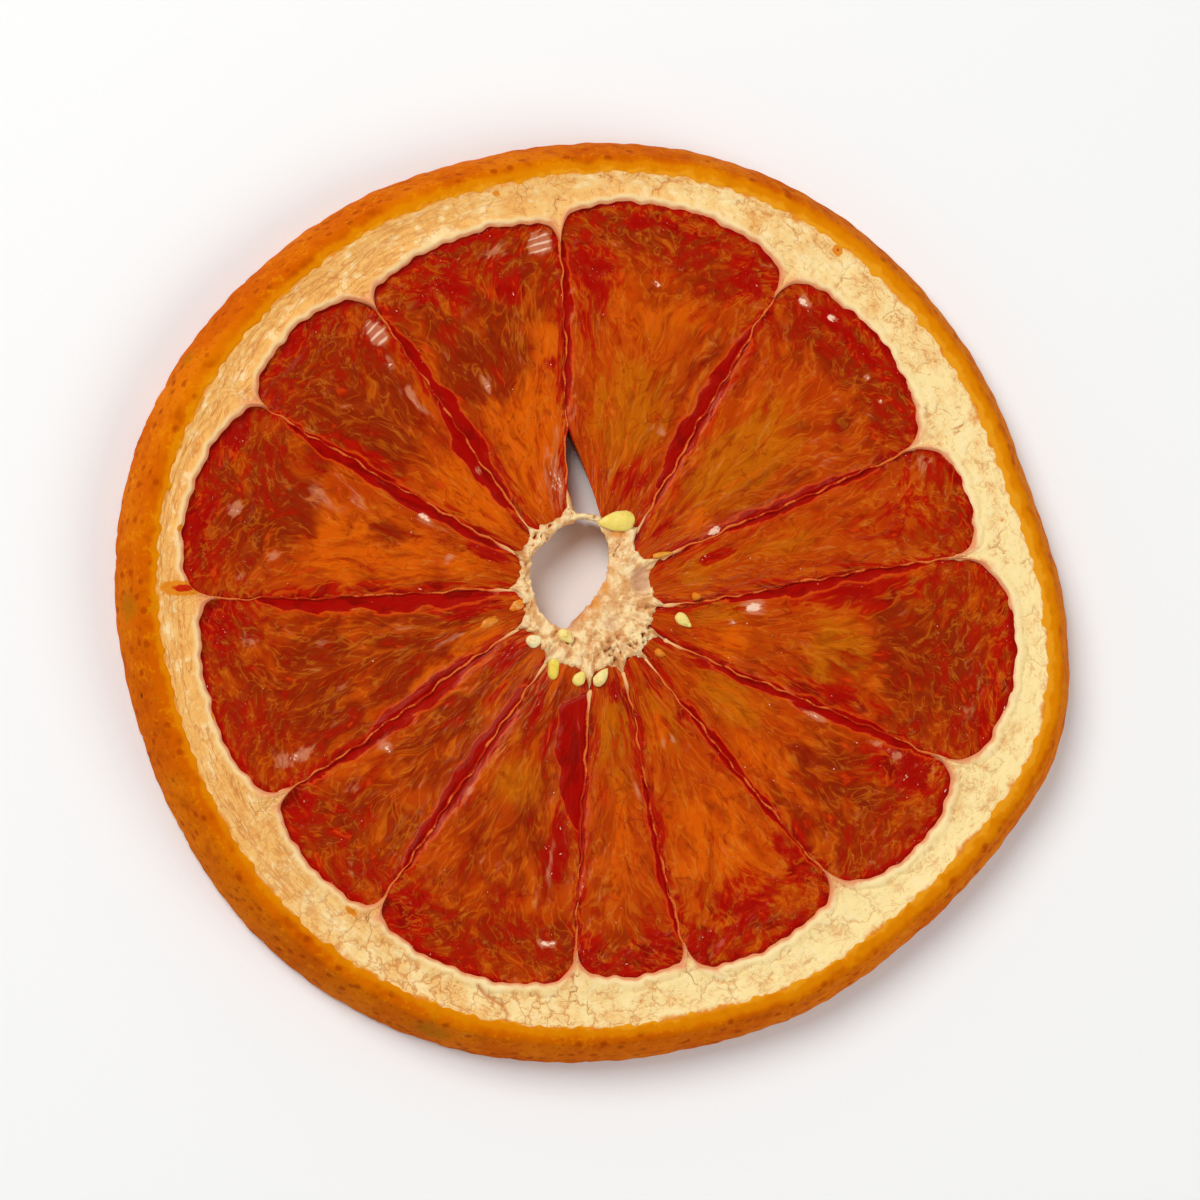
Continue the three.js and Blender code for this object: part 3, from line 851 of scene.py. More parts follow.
# The middle line of each membrane, with its width and its crest's height along it.
def makeMembranePaths():
    count = membraneShape["points"]
    out = np.linspace(-0.05, 1.03, count)
    points, edges, fields = [], [], {"halfWidth": [], "crest": [], "sideways": [], "along": []}
    for index in range(segmentCount):
        angle, radius = fleshPlace(index, 0.0, out)
        place = pointAt(angle, radius, 0.0)
        heading = np.gradient(place, axis=0)
        heading /= np.linalg.norm(heading, axis=1)[:, None]
        sideways = np.stack((-heading[:, 1], heading[:, 0], np.zeros(count)), axis=-1)
        length = radius - radius[0]
        sway = wobble(length, (2.1, 3.7, 6.3, 9.1), 300 + index) * membraneShape["sway"]
        sway *= smooth(out, 0.0, 0.15) * smooth(out, 1.0, 0.9)
        place += sideways * sway[:, None]
        toRing = np.clip(segmentRows[index][1] - radius, 0, None)
        toCore = np.clip(radius - segmentRows[index][5], 0, None)
        swing = membraneShape["widthSwing"] * wobble(length, (1.7, 3.1, 5.3), 330 + index)
        wide = membraneShape["halfWidth"] * (1 + swing)
        wide += membraneShape["outerFlare"] * np.exp(-toRing / membraneShape["outerFlareReach"])
        wide += membraneShape["innerFlare"] * np.exp(-toCore / membraneShape["innerFlareReach"])
        inOut = np.clip(out, 0, 1)
        crest = lerp(pulpShape["upperInner"], pulpShape["upperOuter"], inOut)
        crest -= pulpShape["upperSag"] * np.sin(np.pi * inOut)
        swing = membraneShape["crestSwing"] * wobble(length, (1.9, 4.3, 8.1), 360 + index)
        crest += membraneShape["stand"] + swing
        crest -= membraneShape["dip"] * smooth(out, 0.01, -0.04)
        start = len(points)
        points.extend(place)
        edges.extend((start + k, start + k + 1) for k in range(count - 1))
        fields["halfWidth"].extend(wide)
        fields["crest"].extend(crest)
        fields["sideways"].extend(sideways)
        fields["along"].extend(np.stack((radius, np.full(count, 9.7 * index), out), axis=-1))
    return makeMesh("membranes", points, np.zeros((0, 4), int), fields, edges)


# Sweeps a tall narrow section along each path: broad at its foot, thin and round at its crest.
def membraneBody(g, inputs):
    path = g.value("GeometryNodeMeshToCurve", {"Mesh": inputs["Geometry"]})
    position = g.value("GeometryNodeInputPosition")
    path = g.store(path, "pathPlace", position, "FLOAT_VECTOR")
    circle = {"Radius": 1.0, "Resolution": inputs["Profile Points"]}
    ring = g.value("GeometryNodeCurvePrimitiveCircle", circle)
    section = g.store(ring, "sectionPlace", position, "FLOAT_VECTOR")
    swept = {"Curve": path, "Profile Curve": section, "Fill Caps": True}
    wall = g.value("GeometryNodeCurveToMesh", swept)
    across, upwards, _ = g.split(g.stored("sectionPlace", True))
    height = g.remap(upwards, -1.0, 1.0, 0.0, 1.0, "LINEAR")
    rise = height**0.35
    widths = membraneShape["footWidth"], membraneShape["crestWidth"]
    taper = g.remap(rise**3.0, 0.0, 1.0, *widths, "LINEAR")
    ripple = g.noise(g.stored("along", True), 2.4, 3.0) - 0.5
    crest = g.stored("crest") + ripple * inputs["Ripple Depth"]
    floor = membraneShape["floor"]
    lift = g.combine(0.0, 0.0, (floor + (crest - floor) * rise) * mm)
    aside = g.lengthened(g.stored("sideways", True), across * taper * g.stored("halfWidth") * mm)
    target = g.vector("ADD", g.vector("ADD", g.stored("pathPlace", True), aside), lift)
    wall = g.value("GeometryNodeSetPosition", {"Geometry": wall, "Position": target})
    return g.store(wall, "rise", rise)


membraneFinish = {
    "crest": rgb(228, 112, 48),
    "flank": rgb(180, 16, 3),
    "pith": rgb(244, 188, 124),
}


def makeMembraneMaterial():
    paint = Paint("driedMembrane", membraneFinish, "flank")
    g = paint.g
    along = g.stored("along", True)
    out = g.split(along)[2]
    blotches, _, fine = grainAt(g, g.scaled(along, (1.0, 1.0, 40.0)), blotch=3.2, vein=1.0, grain=0.5)
    paint.over("crest", g.stored("rise"), fine, 0.12, 0.93, 0.99)
    nearEnds = g.larger(g.remap(out, 0.75, 1.0), g.remap(out, 0.4, 0.15))
    paint.over("flank", blotches - 0.25 * nearEnds, fine, 0.3, 0.4, 0.52, 0.88)
    paint.mix("pith", g.larger(g.remap(out, 0.955, 1.0, 0.0, 0.8), g.remap(out, 0.1, 0.02)))
    surface = {
        "Roughness": g.remap(fine, 0.3, 0.7, 0.35, 0.6),
        "Specular IOR Level": 0.1,
        "Specular Tint": (1.0, 0.55, 0.25, 1.0),
    }
    return paint.finished(surface)


print("membranes")
membraneMaterial = makeMembraneMaterial()
membraneTree = makeGeometryTree("membraneSweep", membraneSizes, membraneBody)
membranePiece = applyTree(makeMembranePaths(), membraneTree, membraneSizes, membraneMaterial)


pithShape = {
    "radius": 40,  # where lengths round the ring are measured
    "edgeRadius": 36,  # where a segment's width is measured
    "flowRadius": 42,
    "columnsPerSegment": 116,
    "edgeWobble": 0.16,
    "cuspLength": 1.35,
    "cuspWidth": 0.55,
    "cuspFlush": 0.9,  # the half width of the redder pith at a cusp
    "lipHeight": 0.3,
    "lipWidth": 0.7,
    "wallHeights": (1, 2, 3, 4, 4.7),
    "groovePlace": 1.25,
    "grooveDepth": 0.14,
    "layerDepth": 0.1,
    "layerPlaces": (0.75, 1.4, 2.1),
    "layerSide": 170,
    "crackedSide": 236,
    # sunnySide: where the pith is lightest, partly its own tone and partly painted light.
    "sunnySide": 335,
    "topRows": 34,
}
pithRelief = {"Sponge Depth": 0.22, "Crack Depth": 0.2, "Crack Size": 2.4}
# Small stains of peel oil: angle, radius, half width, half length and strength, in mm.
pithStains = (
    *((179.5, 39.8, 0.64, 1.9, 1.25), (55, 41.2, 0.45, 0.55, 1.1), (35.5, 41.8, 0.6, 0.4, 0.9)),
    *((171.5, 40.5, 0.3, 0.35, 0.8), (104, 39.4, 0.5, 0.6, 0.5), (12, 40.6, 0.45, 0.45, 0.4)),
    *((160, 40.7, 0.35, 0.4, 0.5), (197.5, 38.7, 0.6, 0.25, 0.6), (231.5, 37.9, 0.8, 0.35, 0.6)),
    *((22, 41.6, 0.5, 0.4, 0.6), (137, 40.4, 0.5, 0.5, 0.35), (318, 39.6, 0.4, 0.4, 0.4)),
    *((351, 45.0, 0.5, 0.4, 0.5), (76, 41.5, 0.4, 0.3, 0.5), (212.5, 38.7, 0.3, 0.4, 0.45)),
)
# A crack that starts in the peel: angle and radius along it.
pithCrack = ((257.6, 44.6), (257.3, 41.6), (257.9, 40.2), (256.9, 39.4), (254.2, 38.9), (252.6, 38.2))


# The pith's inner edge, with a cusp that runs in between two segments at each membrane.
def ringColumns():
    share = eased(pithShape["columnsPerSegment"], 0.75, endpoint=False)
    angles, radii, cusps = [], [], []
    for index in range(segmentCount):
        angle, radius = outerEnd(index, share)
        span = math.radians(angle[-1] - angle[0]) * pithShape["edgeRadius"]
        aside = np.minimum(share, 1 - share) * span
        angles.append(angle)
        radii.append(radius - pithShape["cuspLength"] * np.exp(-aside / pithShape["cuspWidth"]))
        cusps.append(np.exp(-aside / pithShape["cuspFlush"]))
    return np.concatenate(angles), np.concatenate(radii), np.concatenate(cusps)


# The ring's own coordinates without a seam: round a fixed circle, and outwards.
def ringFlow(angle, radius, height):
    x, y = (pithShape["flowRadius"] * way(np.radians(angle)) for way in (np.cos, np.sin))
    return np.stack(np.broadcast_arrays(x, y, radius + height), axis=-1)


# How far places on the ring are from a line of angles and radii, in millimetres.
def lineDistance(line, angle, radius):
    nearest = np.full(np.broadcast(angle, radius).shape, 99.0)
    for (fromAngle, fromRadius), (toAngle, toRadius) in zip(line, line[1:]):
        x = np.radians(turnFrom(fromAngle, angle)) * pithShape["radius"]
        y = radius - fromRadius
        stepX = math.radians(toAngle - fromAngle) * pithShape["radius"]
        stepY = toRadius - fromRadius
        share = np.clip((x * stepX + y * stepY) / (stepX**2 + stepY**2), 0, 1)
        nearest = np.minimum(nearest, np.hypot(x - share * stepX, y - share * stepY))
    return nearest


# A ring of points: rows up the inner wall, over the top, down the outer side and back below.
def makePith():
    angle, inner, cusp = ringColumns()
    length = np.radians(angle) * pithShape["radius"]
    around = 2 * np.pi * pithShape["radius"]
    inner = inner + pithShape["edgeWobble"] * wobble(length, (1.7, 2.9, 4.6, 7.3), 71, around)
    edge = aroundRing(sliceShape["ringRadii"], angle) - sliceShape["rindThickness"]
    thickness = thicknessAt(angle)
    grooved = 0.55 + 0.45 * wobble(length, (7.0, 13.0, 21.0), 75, around)
    layered = smooth(np.cos(np.radians(angle - pithShape["layerSide"])), 0.2, 0.8)
    shift = 0.2 * wobble(length, (5.0, 9.0, 17.0), 76, around)

    def topHeight(radius, share):
        inside = radius - inner
        fallen = 1 - smooth(inside, 0.0, pithShape["lipWidth"])
        height = thickness - pithShape["lipHeight"] * fallen**2
        beyond = inside - pithShape["groovePlace"] - shift
        height = height - grooved * pithShape["grooveDepth"] * spot(beyond, 0.2)
        for place in pithShape["layerPlaces"]:
            height = height - layered * pithShape["layerDepth"] * spot(beyond - place, 0.13)
        dent = sliceShape["pithHollow"] * np.sin(np.pi * np.clip(share, 0, 1)) ** 2
        return height - dent * smooth(inside, 0.3, 1.5)

    walls = enumerate(pithShape["wallHeights"])
    rows = [(inner + 0.14 - 0.02 * k, height, 0.0) for k, height in walls]
    first = len(rows)
    for share in np.linspace(0, 1, pithShape["topRows"]):
        radius = lerp(inner, edge, share)
        rows.append((radius, topHeight(radius, share), share))
    rows.append((edge + 0.2, thickness - 0.1, 1.1))
    rows.append((edge + 0.4, thickness - 0.34, 1.2))
    rows.append((edge + 0.42, 3.0, 1.2))
    rows.append((edge + 0.42, 0.3, 1.2))
    last = len(rows)
    for share in np.linspace(1, 0, 16):
        rows.append((lerp(inner, edge, share), 0.0, share))
    points = np.stack([pointAt(angle, radius, height) for radius, height, _ in rows], axis=1)
    flow = np.stack([ringFlow(angle, radius, height) for radius, height, _ in rows], axis=1)
    radius = np.stack([row[0] for row in rows], axis=1)
    inside = radius - inner[:, None]
    turn = angle[:, None] * np.ones_like(radius)
    upward = np.zeros_like(radius)
    upward[:, first : first + pithShape["topRows"]] = 1
    upward[:, last:] = -1
    stain = np.zeros_like(radius)
    for at, height, wide, long, strength in pithStains:
        aside = np.radians(turnFrom(at, turn)) * pithShape["radius"]
        stain = np.maximum(stain, strength * spot(aside, wide, radius - height, long))
    fields = {
        "flow": flow,
        "outward": alongRows([row[2] for row in rows], len(angle)),
        "upward": upward,
        "inside": inside,
        "flush": np.exp(-inside / (0.36 + 1.3 * cusp[:, None])),
        "cracked": spot(turnFrom(pithShape["crackedSide"], turn), 36),
        # Lighter towards the sunny side: partly the pith's own tone, partly painted light.
        "sunny": 0.5 + 0.5 * np.cos(np.radians(turn - pithShape["sunnySide"])),
        "layered": layered[:, None] * np.ones_like(radius),
        "stain": stain,
        "crack": spot(lineDistance(pithCrack, turn, radius), 0.16),
    }
    return makeMesh("pith", points, gridFaces(*radius.shape, True, True), fields)


# Fine cracks of the pith: a net of cells, bent.
def crackNet(g, flow, size):
    bent = g.bent(flow, (0.9,) * 3, (2.0,) * 3, 3.0)
    net = g.voronoi(bent, 1.0 / size, "DISTANCE_TO_EDGE")
    patch = g.noise(flow, 0.4, 2.0) + 0.25 * g.stored("cracked")
    return g.remap(net, 0.055, 0.0) * g.remap(patch, 0.42, 0.62)


# Spongy pits and fine cracks, calmer at both edges.
def pithBody(g, inputs):
    flow = g.stored("flow", True)
    crack = g.larger(crackNet(g, flow, inputs["Crack Size"]), g.stored("crack") * 1.6)
    rough = g.remap(g.stored("inside"), 0.2, 1.4, 0.25, 1.0)
    rough = rough * g.remap(g.stored("outward"), 1.0, 0.8, 0.3, 1.0)
    rough = rough * (1.0 - 0.5 * g.stored("layered"))
    depth = (0.7 - g.noise(flow, 1.5, 4.0, 0.65)) * inputs["Sponge Depth"]
    depth = (depth + crack * inputs["Crack Depth"]) * rough * g.stored("upward")
    return g.moved(inputs["Geometry"], g.combine(0.0, 0.0, depth * -mm))


pithFinish = {
    "light": rgb(255, 229, 162),
    "shade": rgb(242, 182, 100),
    "lip": rgb(255, 231, 176),
    "fibre": rgb(202, 118, 54),
    "flush": rgb(232, 134, 84),
    "grain": rgb(230, 152, 80),
    "oil": rgb(226, 132, 18),
    "red": rgb(196, 24, 2),
}


def makePithMaterial():
    paint = Paint("driedPith", pithFinish, "shade")
    g = paint.g
    flow = g.stored("flow", True)
    inside = g.stored("inside")
    layered = g.stored("layered")
    broad, veins, fine = grainAt(g, flow, blotch=2.6, vein=2.0, width=0.02, grain=0.2)
    longer = g.scaled(flow, (0.55, 0.55, 1.0))
    sponge, dashes, specks = grainAt(g, longer, blotch=0.8, vein=0.75, width=0.03, grain=0.26)
    # Lighter towards the sunny side, partly its own tone and partly painted light.
    sunny = g.stored("sunny")
    paint.mix("light", g.remap(sunny + 1.3 * (broad - 0.5), 0.0, 1.0))
    grainy = (1.0 - sponge) * (1.0 - 0.12 * layered)
    paint.over("grain", grainy, broad, -0.8, 0.52, 0.85, 0.45)
    paint.over("lip", sponge, broad, 0.5, 0.52, 0.72, 0.7)
    # Lighter along the lip by the pulp: partly its own smoother tissue and partly a painted highlight on its
    # rounded edge.
    paint.mix("lip", g.remap(inside, 0.95, 0.35, 0.0, 0.7))
    paint.over("flush", g.stored("flush"), sponge, 0.8, 0.2, 0.75, 0.85)
    # Fewer marks near the lip and on the sunny side, where light is painted.
    calm = g.remap(inside, 0.5, 1.3, 0.15, 1.0) * g.remap(sunny, 0.6, 1.0, 1.0, 0.6)
    net = crackNet(g, flow, pithRelief["Crack Size"]) * 0.7
    marks = g.larger(net, veins * g.remap(sponge, 0.55, 0.4, 0.0, 0.75))
    marks = g.larger(marks, dashes * g.remap(broad, 0.55, 0.42, 0.0, 0.7))
    around = g.noise(g.scaled(flow, (0.14, 0.14, 1.5)), 1.0, 3.0, 0.6)
    around = g.remap(abs(around - 0.5), 0.035, 0.0)
    marks = marks * (1.0 - 0.45 * layered)
    marks = g.larger(marks, around * (0.1 + 0.65 * layered))
    paint.mix("fibre", marks * calm)
    paint.mix("grain", g.remap(specks, 0.62, 0.72, 0.0, 0.45) * calm)
    paint.over("oil", g.stored("outward"), broad, 0.7, 0.93, 1.07, 0.95)
    stain = g.stored("stain")
    paint.over("oil", stain, sponge, 1.1, 0.22, 0.42, 0.95)
    paint.over("red", stain, sponge, 0.7, 0.88, 1.05, 0.95)
    paint.mix("fibre", g.stored("crack") * 0.85)
    surface = {
        "Roughness": g.remap(inside, 0.4, 1.2, 0.5, 0.8),
        "Normal": g.bump(0.45, 0.15, 0.8 * sponge + 0.5 * fine),
        "Specular IOR Level": 0.15,
        "Specular Tint": (1.0, 0.8, 0.5, 1.0),
    }
    return paint.finished(surface)


print("pith")
pithMaterial = makePithMaterial()
pithTree = makeGeometryTree("pithSponge", pithRelief, pithBody)
pithPiece = applyTree(makePith(), pithTree, pithRelief, pithMaterial)


rindShape = {
    "radius": 42,  # where lengths round the rind are measured
    "markRadius": 44,
    "markHeight": 6,
    # sunnySide: where the rind is painted lighter.
    "sunnySide": 15,
    "edgeWobble": 0.21,
    "wallWobble": 0.05,
    "columns": 1200,
    "wallRows": 26,
}
rindPores = {"Pore Spacing": 0.9, "Pore Radius": 0.32, "Pore Depth": 0.09, "Peel Ripple": 0.16}
# Marks on the peel: angle, share of the way down, half width and half length in mm, how dark and
# how green.
rindMarks = (
    *((192.6, 0.42, 0.3, 0.25, 1.0, 0.0), (154, 0.35, 0.25, 0.2, 0.6, 0.0), (162, 0.5, 0.22, 0.2, 0.6, 0.0)),
    *((168, 0.3, 0.22, 0.18, 0.5, 0.0), (186, 0.55, 0.3, 0.2, 0.6, 0.0), (214, 0.4, 0.3, 0.22, 0.5, 0.0)),
    *((236, 0.45, 0.25, 0.25, 0.5, 0.0), (181.5, 0.4, 1.8, 2.4, 0.1, 0.8), (249, 0.35, 2.6, 1.8, 0.15, 0.9)),
    *((246, 0.6, 0.8, 0.5, 0.5, 0.5), (96, 0.1, 1.2, 1.0, 0.3, 0.2), (290, 0.5, 2.2, 2.0, 0.2, 0.4)),
    *((257.9, 0.1, 0.26, 1.6, 0.45, 0.0), (258.6, 0.4, 0.26, 1.2, 0.42, 0.0)),
    (150, 0.6, 1.6, 1.6, 0.1, 0.5),
)


# A ring of points: over the rind's cut edge, down the slanting wall and back below.
def makeRind():
    angle = np.linspace(0, 360, rindShape["columns"], endpoint=False)
    around = 2 * np.pi * rindShape["radius"]
    length = np.radians(angle) * rindShape["radius"]
    edge = aroundRing(sliceShape["ringRadii"], angle)
    inner = edge - sliceShape["rindThickness"]
    inner = inner + rindShape["edgeWobble"] * wobble(length, (1.3, 2.2, 3.7, 6.1), 91, around)
    edge = edge + rindShape["wallWobble"] * wobble(length, (2.3, 4.1, 7.7), 93, around)
    thickness = thicknessAt(angle)
    slant = wallSlantAt(angle)
    drop = sliceShape["rindEdgeDrop"]
    rows = [(inner - 0.4, thickness - 0.6, 0.0), (inner - 0.22, thickness - 0.22, 0.0)]
    for share in np.linspace(0, 1, 9):
        rise = 0.03 - drop * share**2 - 0.1 * smooth(share, 0.8, 1.0)
        rows.append((lerp(inner, edge - 0.05, share), thickness + rise, 0.0))
    for down in np.linspace(0.04, 0.9, rindShape["wallRows"]):
        bulge = sliceShape["wallBulge"] * math.sin(math.pi * down)
        rows.append((edge + slant * down + bulge, (thickness - drop) * (1 - down), down))
    foot = edge + slant - sliceShape["baseChamfer"]
    rows.append((edge + slant * 0.94 + 0.02, 0.22, 0.95))
    rows.append((foot + 0.22, 0.05, 0.98))
    for share in np.linspace(1, 0, 6):
        rows.append((lerp(inner, foot, share), 0.0, 1.0))
    rows.append((inner - 0.1, 0.4, 1.0))
    points = np.stack([pointAt(angle, radius, height) for radius, height, _ in rows], axis=1)
    down = alongRows([row[2] for row in rows], len(angle))
    inward = np.stack([edge - np.minimum(row[0], edge) for row in rows], axis=1)
    dark, green = np.zeros_like(down), np.zeros_like(down)
    for at, place, wide, long, darkness, greenness in rindMarks:
        aside = np.radians(turnFrom(at, angle[:, None])) * rindShape["markRadius"]
        near = spot(aside, wide, (down - place) * rindShape["markHeight"], long)
        dark = np.maximum(dark, darkness * near)
        green = np.maximum(green, greenness * near)
    fields = {
        "inward": inward / sliceShape["rindThickness"],
        "wall": (down > 0.03) & (down < 0.97),
        "dark": dark,
        "green": green,
        # Towards the sunny side the rind is painted lighter.
        "sunny": np.cos(np.radians(angle - rindShape["sunnySide"]))[:, None] * np.ones_like(down),
    }
    return makeMesh("rind", points, gridFaces(*down.shape, True, True), fields)


# Oil glands: points spread over the wall, each with a pit round it.
def rindBody(g, inputs):
    wall = g.stored("wall")
    spread = {
        "Mesh": inputs["Geometry"],
        "Distance Min": inputs["Pore Spacing"] * mm,
        "Density Max": 2.2e6,
        "Density Factor": g.math("GREATER_THAN", wall, 0.5),
        "Seed": 5,
    }
    glands = g.value("GeometryNodeDistributePointsOnFaces", spread, "Points", distribute_method="POISSON")
    near = g.value("GeometryNodeProximity", {0: glands}, "Distance", target_element="POINTS")
    pore = g.remap(near / (inputs["Pore Radius"] * mm), 1.0, 0.15) * wall
    ripple = g.noise(g.value("GeometryNodeInputPosition"), 420.0, 3.0) - 0.5
    depth = pore * inputs["Pore Depth"] + ripple * wall * inputs["Peel Ripple"]
    normal = g.value("GeometryNodeInputNormal")
    peel = g.store(inputs["Geometry"], "pore", pore)
    return g.moved(peel, g.lengthened(normal, depth * -mm))


rindFinish = {
    "orange": rgb(218, 112, 1),
    "deep": rgb(205, 91, 1),
    "pore": rgb(172, 66, 1),
    "gland": rgb(166, 60, 1),
    "cut": rgb(226, 136, 4),
    "yellow": rgb(238, 158, 30),
    "green": rgb(140, 98, 6),
    "brown": rgb(92, 34, 4),
}


def makeRindMaterial():
    paint = Paint("driedRind", rindFinish, "orange")
    g = paint.g
    place = g.place()
    broad = g.noise(place, 0.12, 3.0)
    medium, _, fine = grainAt(g, place, blotch=1.6, vein=2.4, width=0.015, grain=0.4)
    sunny = g.stored("sunny")
    # Deeper orange in broad blotches, a little less towards the sunny side, where light is painted.
    paint.mix("deep", g.remap(broad - 0.05 * sunny, 0.35, 0.65))
    paint.over("pore", 1.0 - medium, fine, 0.5, 0.52, 0.72, 0.55)
    paint.over("cut", medium, fine, 0.5, 0.55, 0.72, 0.5)
    paint.over("pore", g.stored("pore"), fine, 0.6, 0.3, 0.9, 0.6)
    paint.mix("gland", g.remap(g.voronoi(place, 0.62, "F1"), 0.3, 0.14) * 0.7)
    # Lighter and yellower at the cut edge, which is its own colour, and towards the sunny side, which is
    # painted light.
    lit = g.stored("inward") + 0.3 * sunny
    paint.over("cut", lit, medium, 0.8, 0.15, 0.6, 0.75)
    paint.over("yellow", lit, medium, 1.4, 0.72, 1.1, 0.8)
    paint.over("green", g.stored("green"), medium, 1.2, 0.25, 0.8, 0.45)
    paint.over("brown", g.stored("dark"), fine, 0.4, 0.3, 0.6, 0.85)
    surface = {
        "Roughness": g.remap(broad, 0.3, 0.7, 0.5, 0.65),
        "Normal": g.bump(0.35, 0.12, fine + 1.5 * medium),
        "Specular IOR Level": 0.01,
        "Specular Tint": (1.0, 0.7, 0.3, 1.0),
    }
    return paint.finished(surface)


print("rind")
rindMaterial = makeRindMaterial()
rindTree = makeGeometryTree("rindPores", rindPores, rindBody)
rindPiece = applyTree(makeRind(), rindTree, rindPores, rindMaterial)


coreShape = {
    "radius": 7.5,  # where the teeth's widths are measured
    "raggedRadius": 7,
    "raggedness": 0.2,
    "holeRadius": 4,
    "holeWobble": 0.1,
    "leastWidth": 0.5,
    "evenColumns": 14,
    "columnsPerSegment": 34,
    "holeRows": 12,
    "topRows": 46,
    "bottomRows": 24,
    "top": 4.95,
    "bottom": 0.7,
    "rimDrop": 0.45,
    "past": 0.12,
    "toothLength": 1.1,
    "toothWidth": 0.28,
    "undercut": 0.3,  # how much the hole widens with depth, on the side it leans to
    "undercutSide": 20,
    "holeRadii": (  # the hole's outline round its middle, every 15 degrees
        *(3.62, 3.89, 4.32, 4.9, 5.26, 5.14, 4.69, 4.02, 3.65, 3.53, 3.67, 3.74),
        *(3.71, 3.77, 3.96, 4.32, 4.86, 5.24, 5.31, 4.47, 3.63, 3.37, 3.33, 3.42),
    ),
}
coreRelief = {
    "Sponge Depth": 0.45,
    "Pit Depth": 0.85,
    "Pit Size": 0.85,
    "Dent Depth": 0.5,
    "Ridge Depth": 0.9,
}
# Places from the axis, half sizes and strength: where the core is dented and thin, and where it is
# open sponge.
coreDents = ((4.5, 2.0, 1.1, 1.5, 1.0), (-0.1, -0.9, 0.8, 1.2, 0.35), (1.6, -2.2, 1.0, 1.3, 0.6))
coreSponge = (
    *((5.4, -2.4, 1.5, 2.2, 1.0), (2.6, -4.4, 3.0, 1.2, 1.0), (2.3, 5.0, 1.1, 0.9, 0.9)),
    *((-6.7, 0.4, 0.5, 3.0, 0.6), (-5.0, 5.5, 0.9, 0.9, 0.8), (-3.4, -3.8, 1.6, 0.7, 0.5)),
    *((5.9, 0.4, 0.6, 1.6, 0.5), (-0.6, 8.2, 1.5, 0.5, 0.4)),
)
# Where the core is stained by juice.
coreStains = (
    *((1.1, 1.3, 0.7, 1.1, 0.9), (0.1, -0.2, 0.9, 0.9, 1.0), (-1.1, -1.5, 0.8, 0.7, 0.8)),
    *((1.9, 2.9, 0.5, 1.0, 0.6), (-2.3, -2.5, 0.8, 0.4, 0.5)),
    *((2.3, 6.3, 1.1, 0.45, 1.0), (6.3, 3.9, 0.7, 0.4, 0.7), (-2.6, -3.5, 0.8, 0.5, 0.5)),
)


# How strongly a table's places show at x and y.
def spread(table, x, y):
    field = np.zeros_like(x)
    for atX, atY, wide, long, strength in table:
        field = np.maximum(field, strength * spot(x - atX, wide, y - atY, long))
    return field


# Evens out values round the ring over the given count of columns.
def evened(values, count):
    weights = np.hanning(2 * count + 3)[1:-1]
    wrapped = np.concatenate((values[-count:], values, values[:count]))
    return np.convolve(wrapped, weights / weights.sum(), "valid")


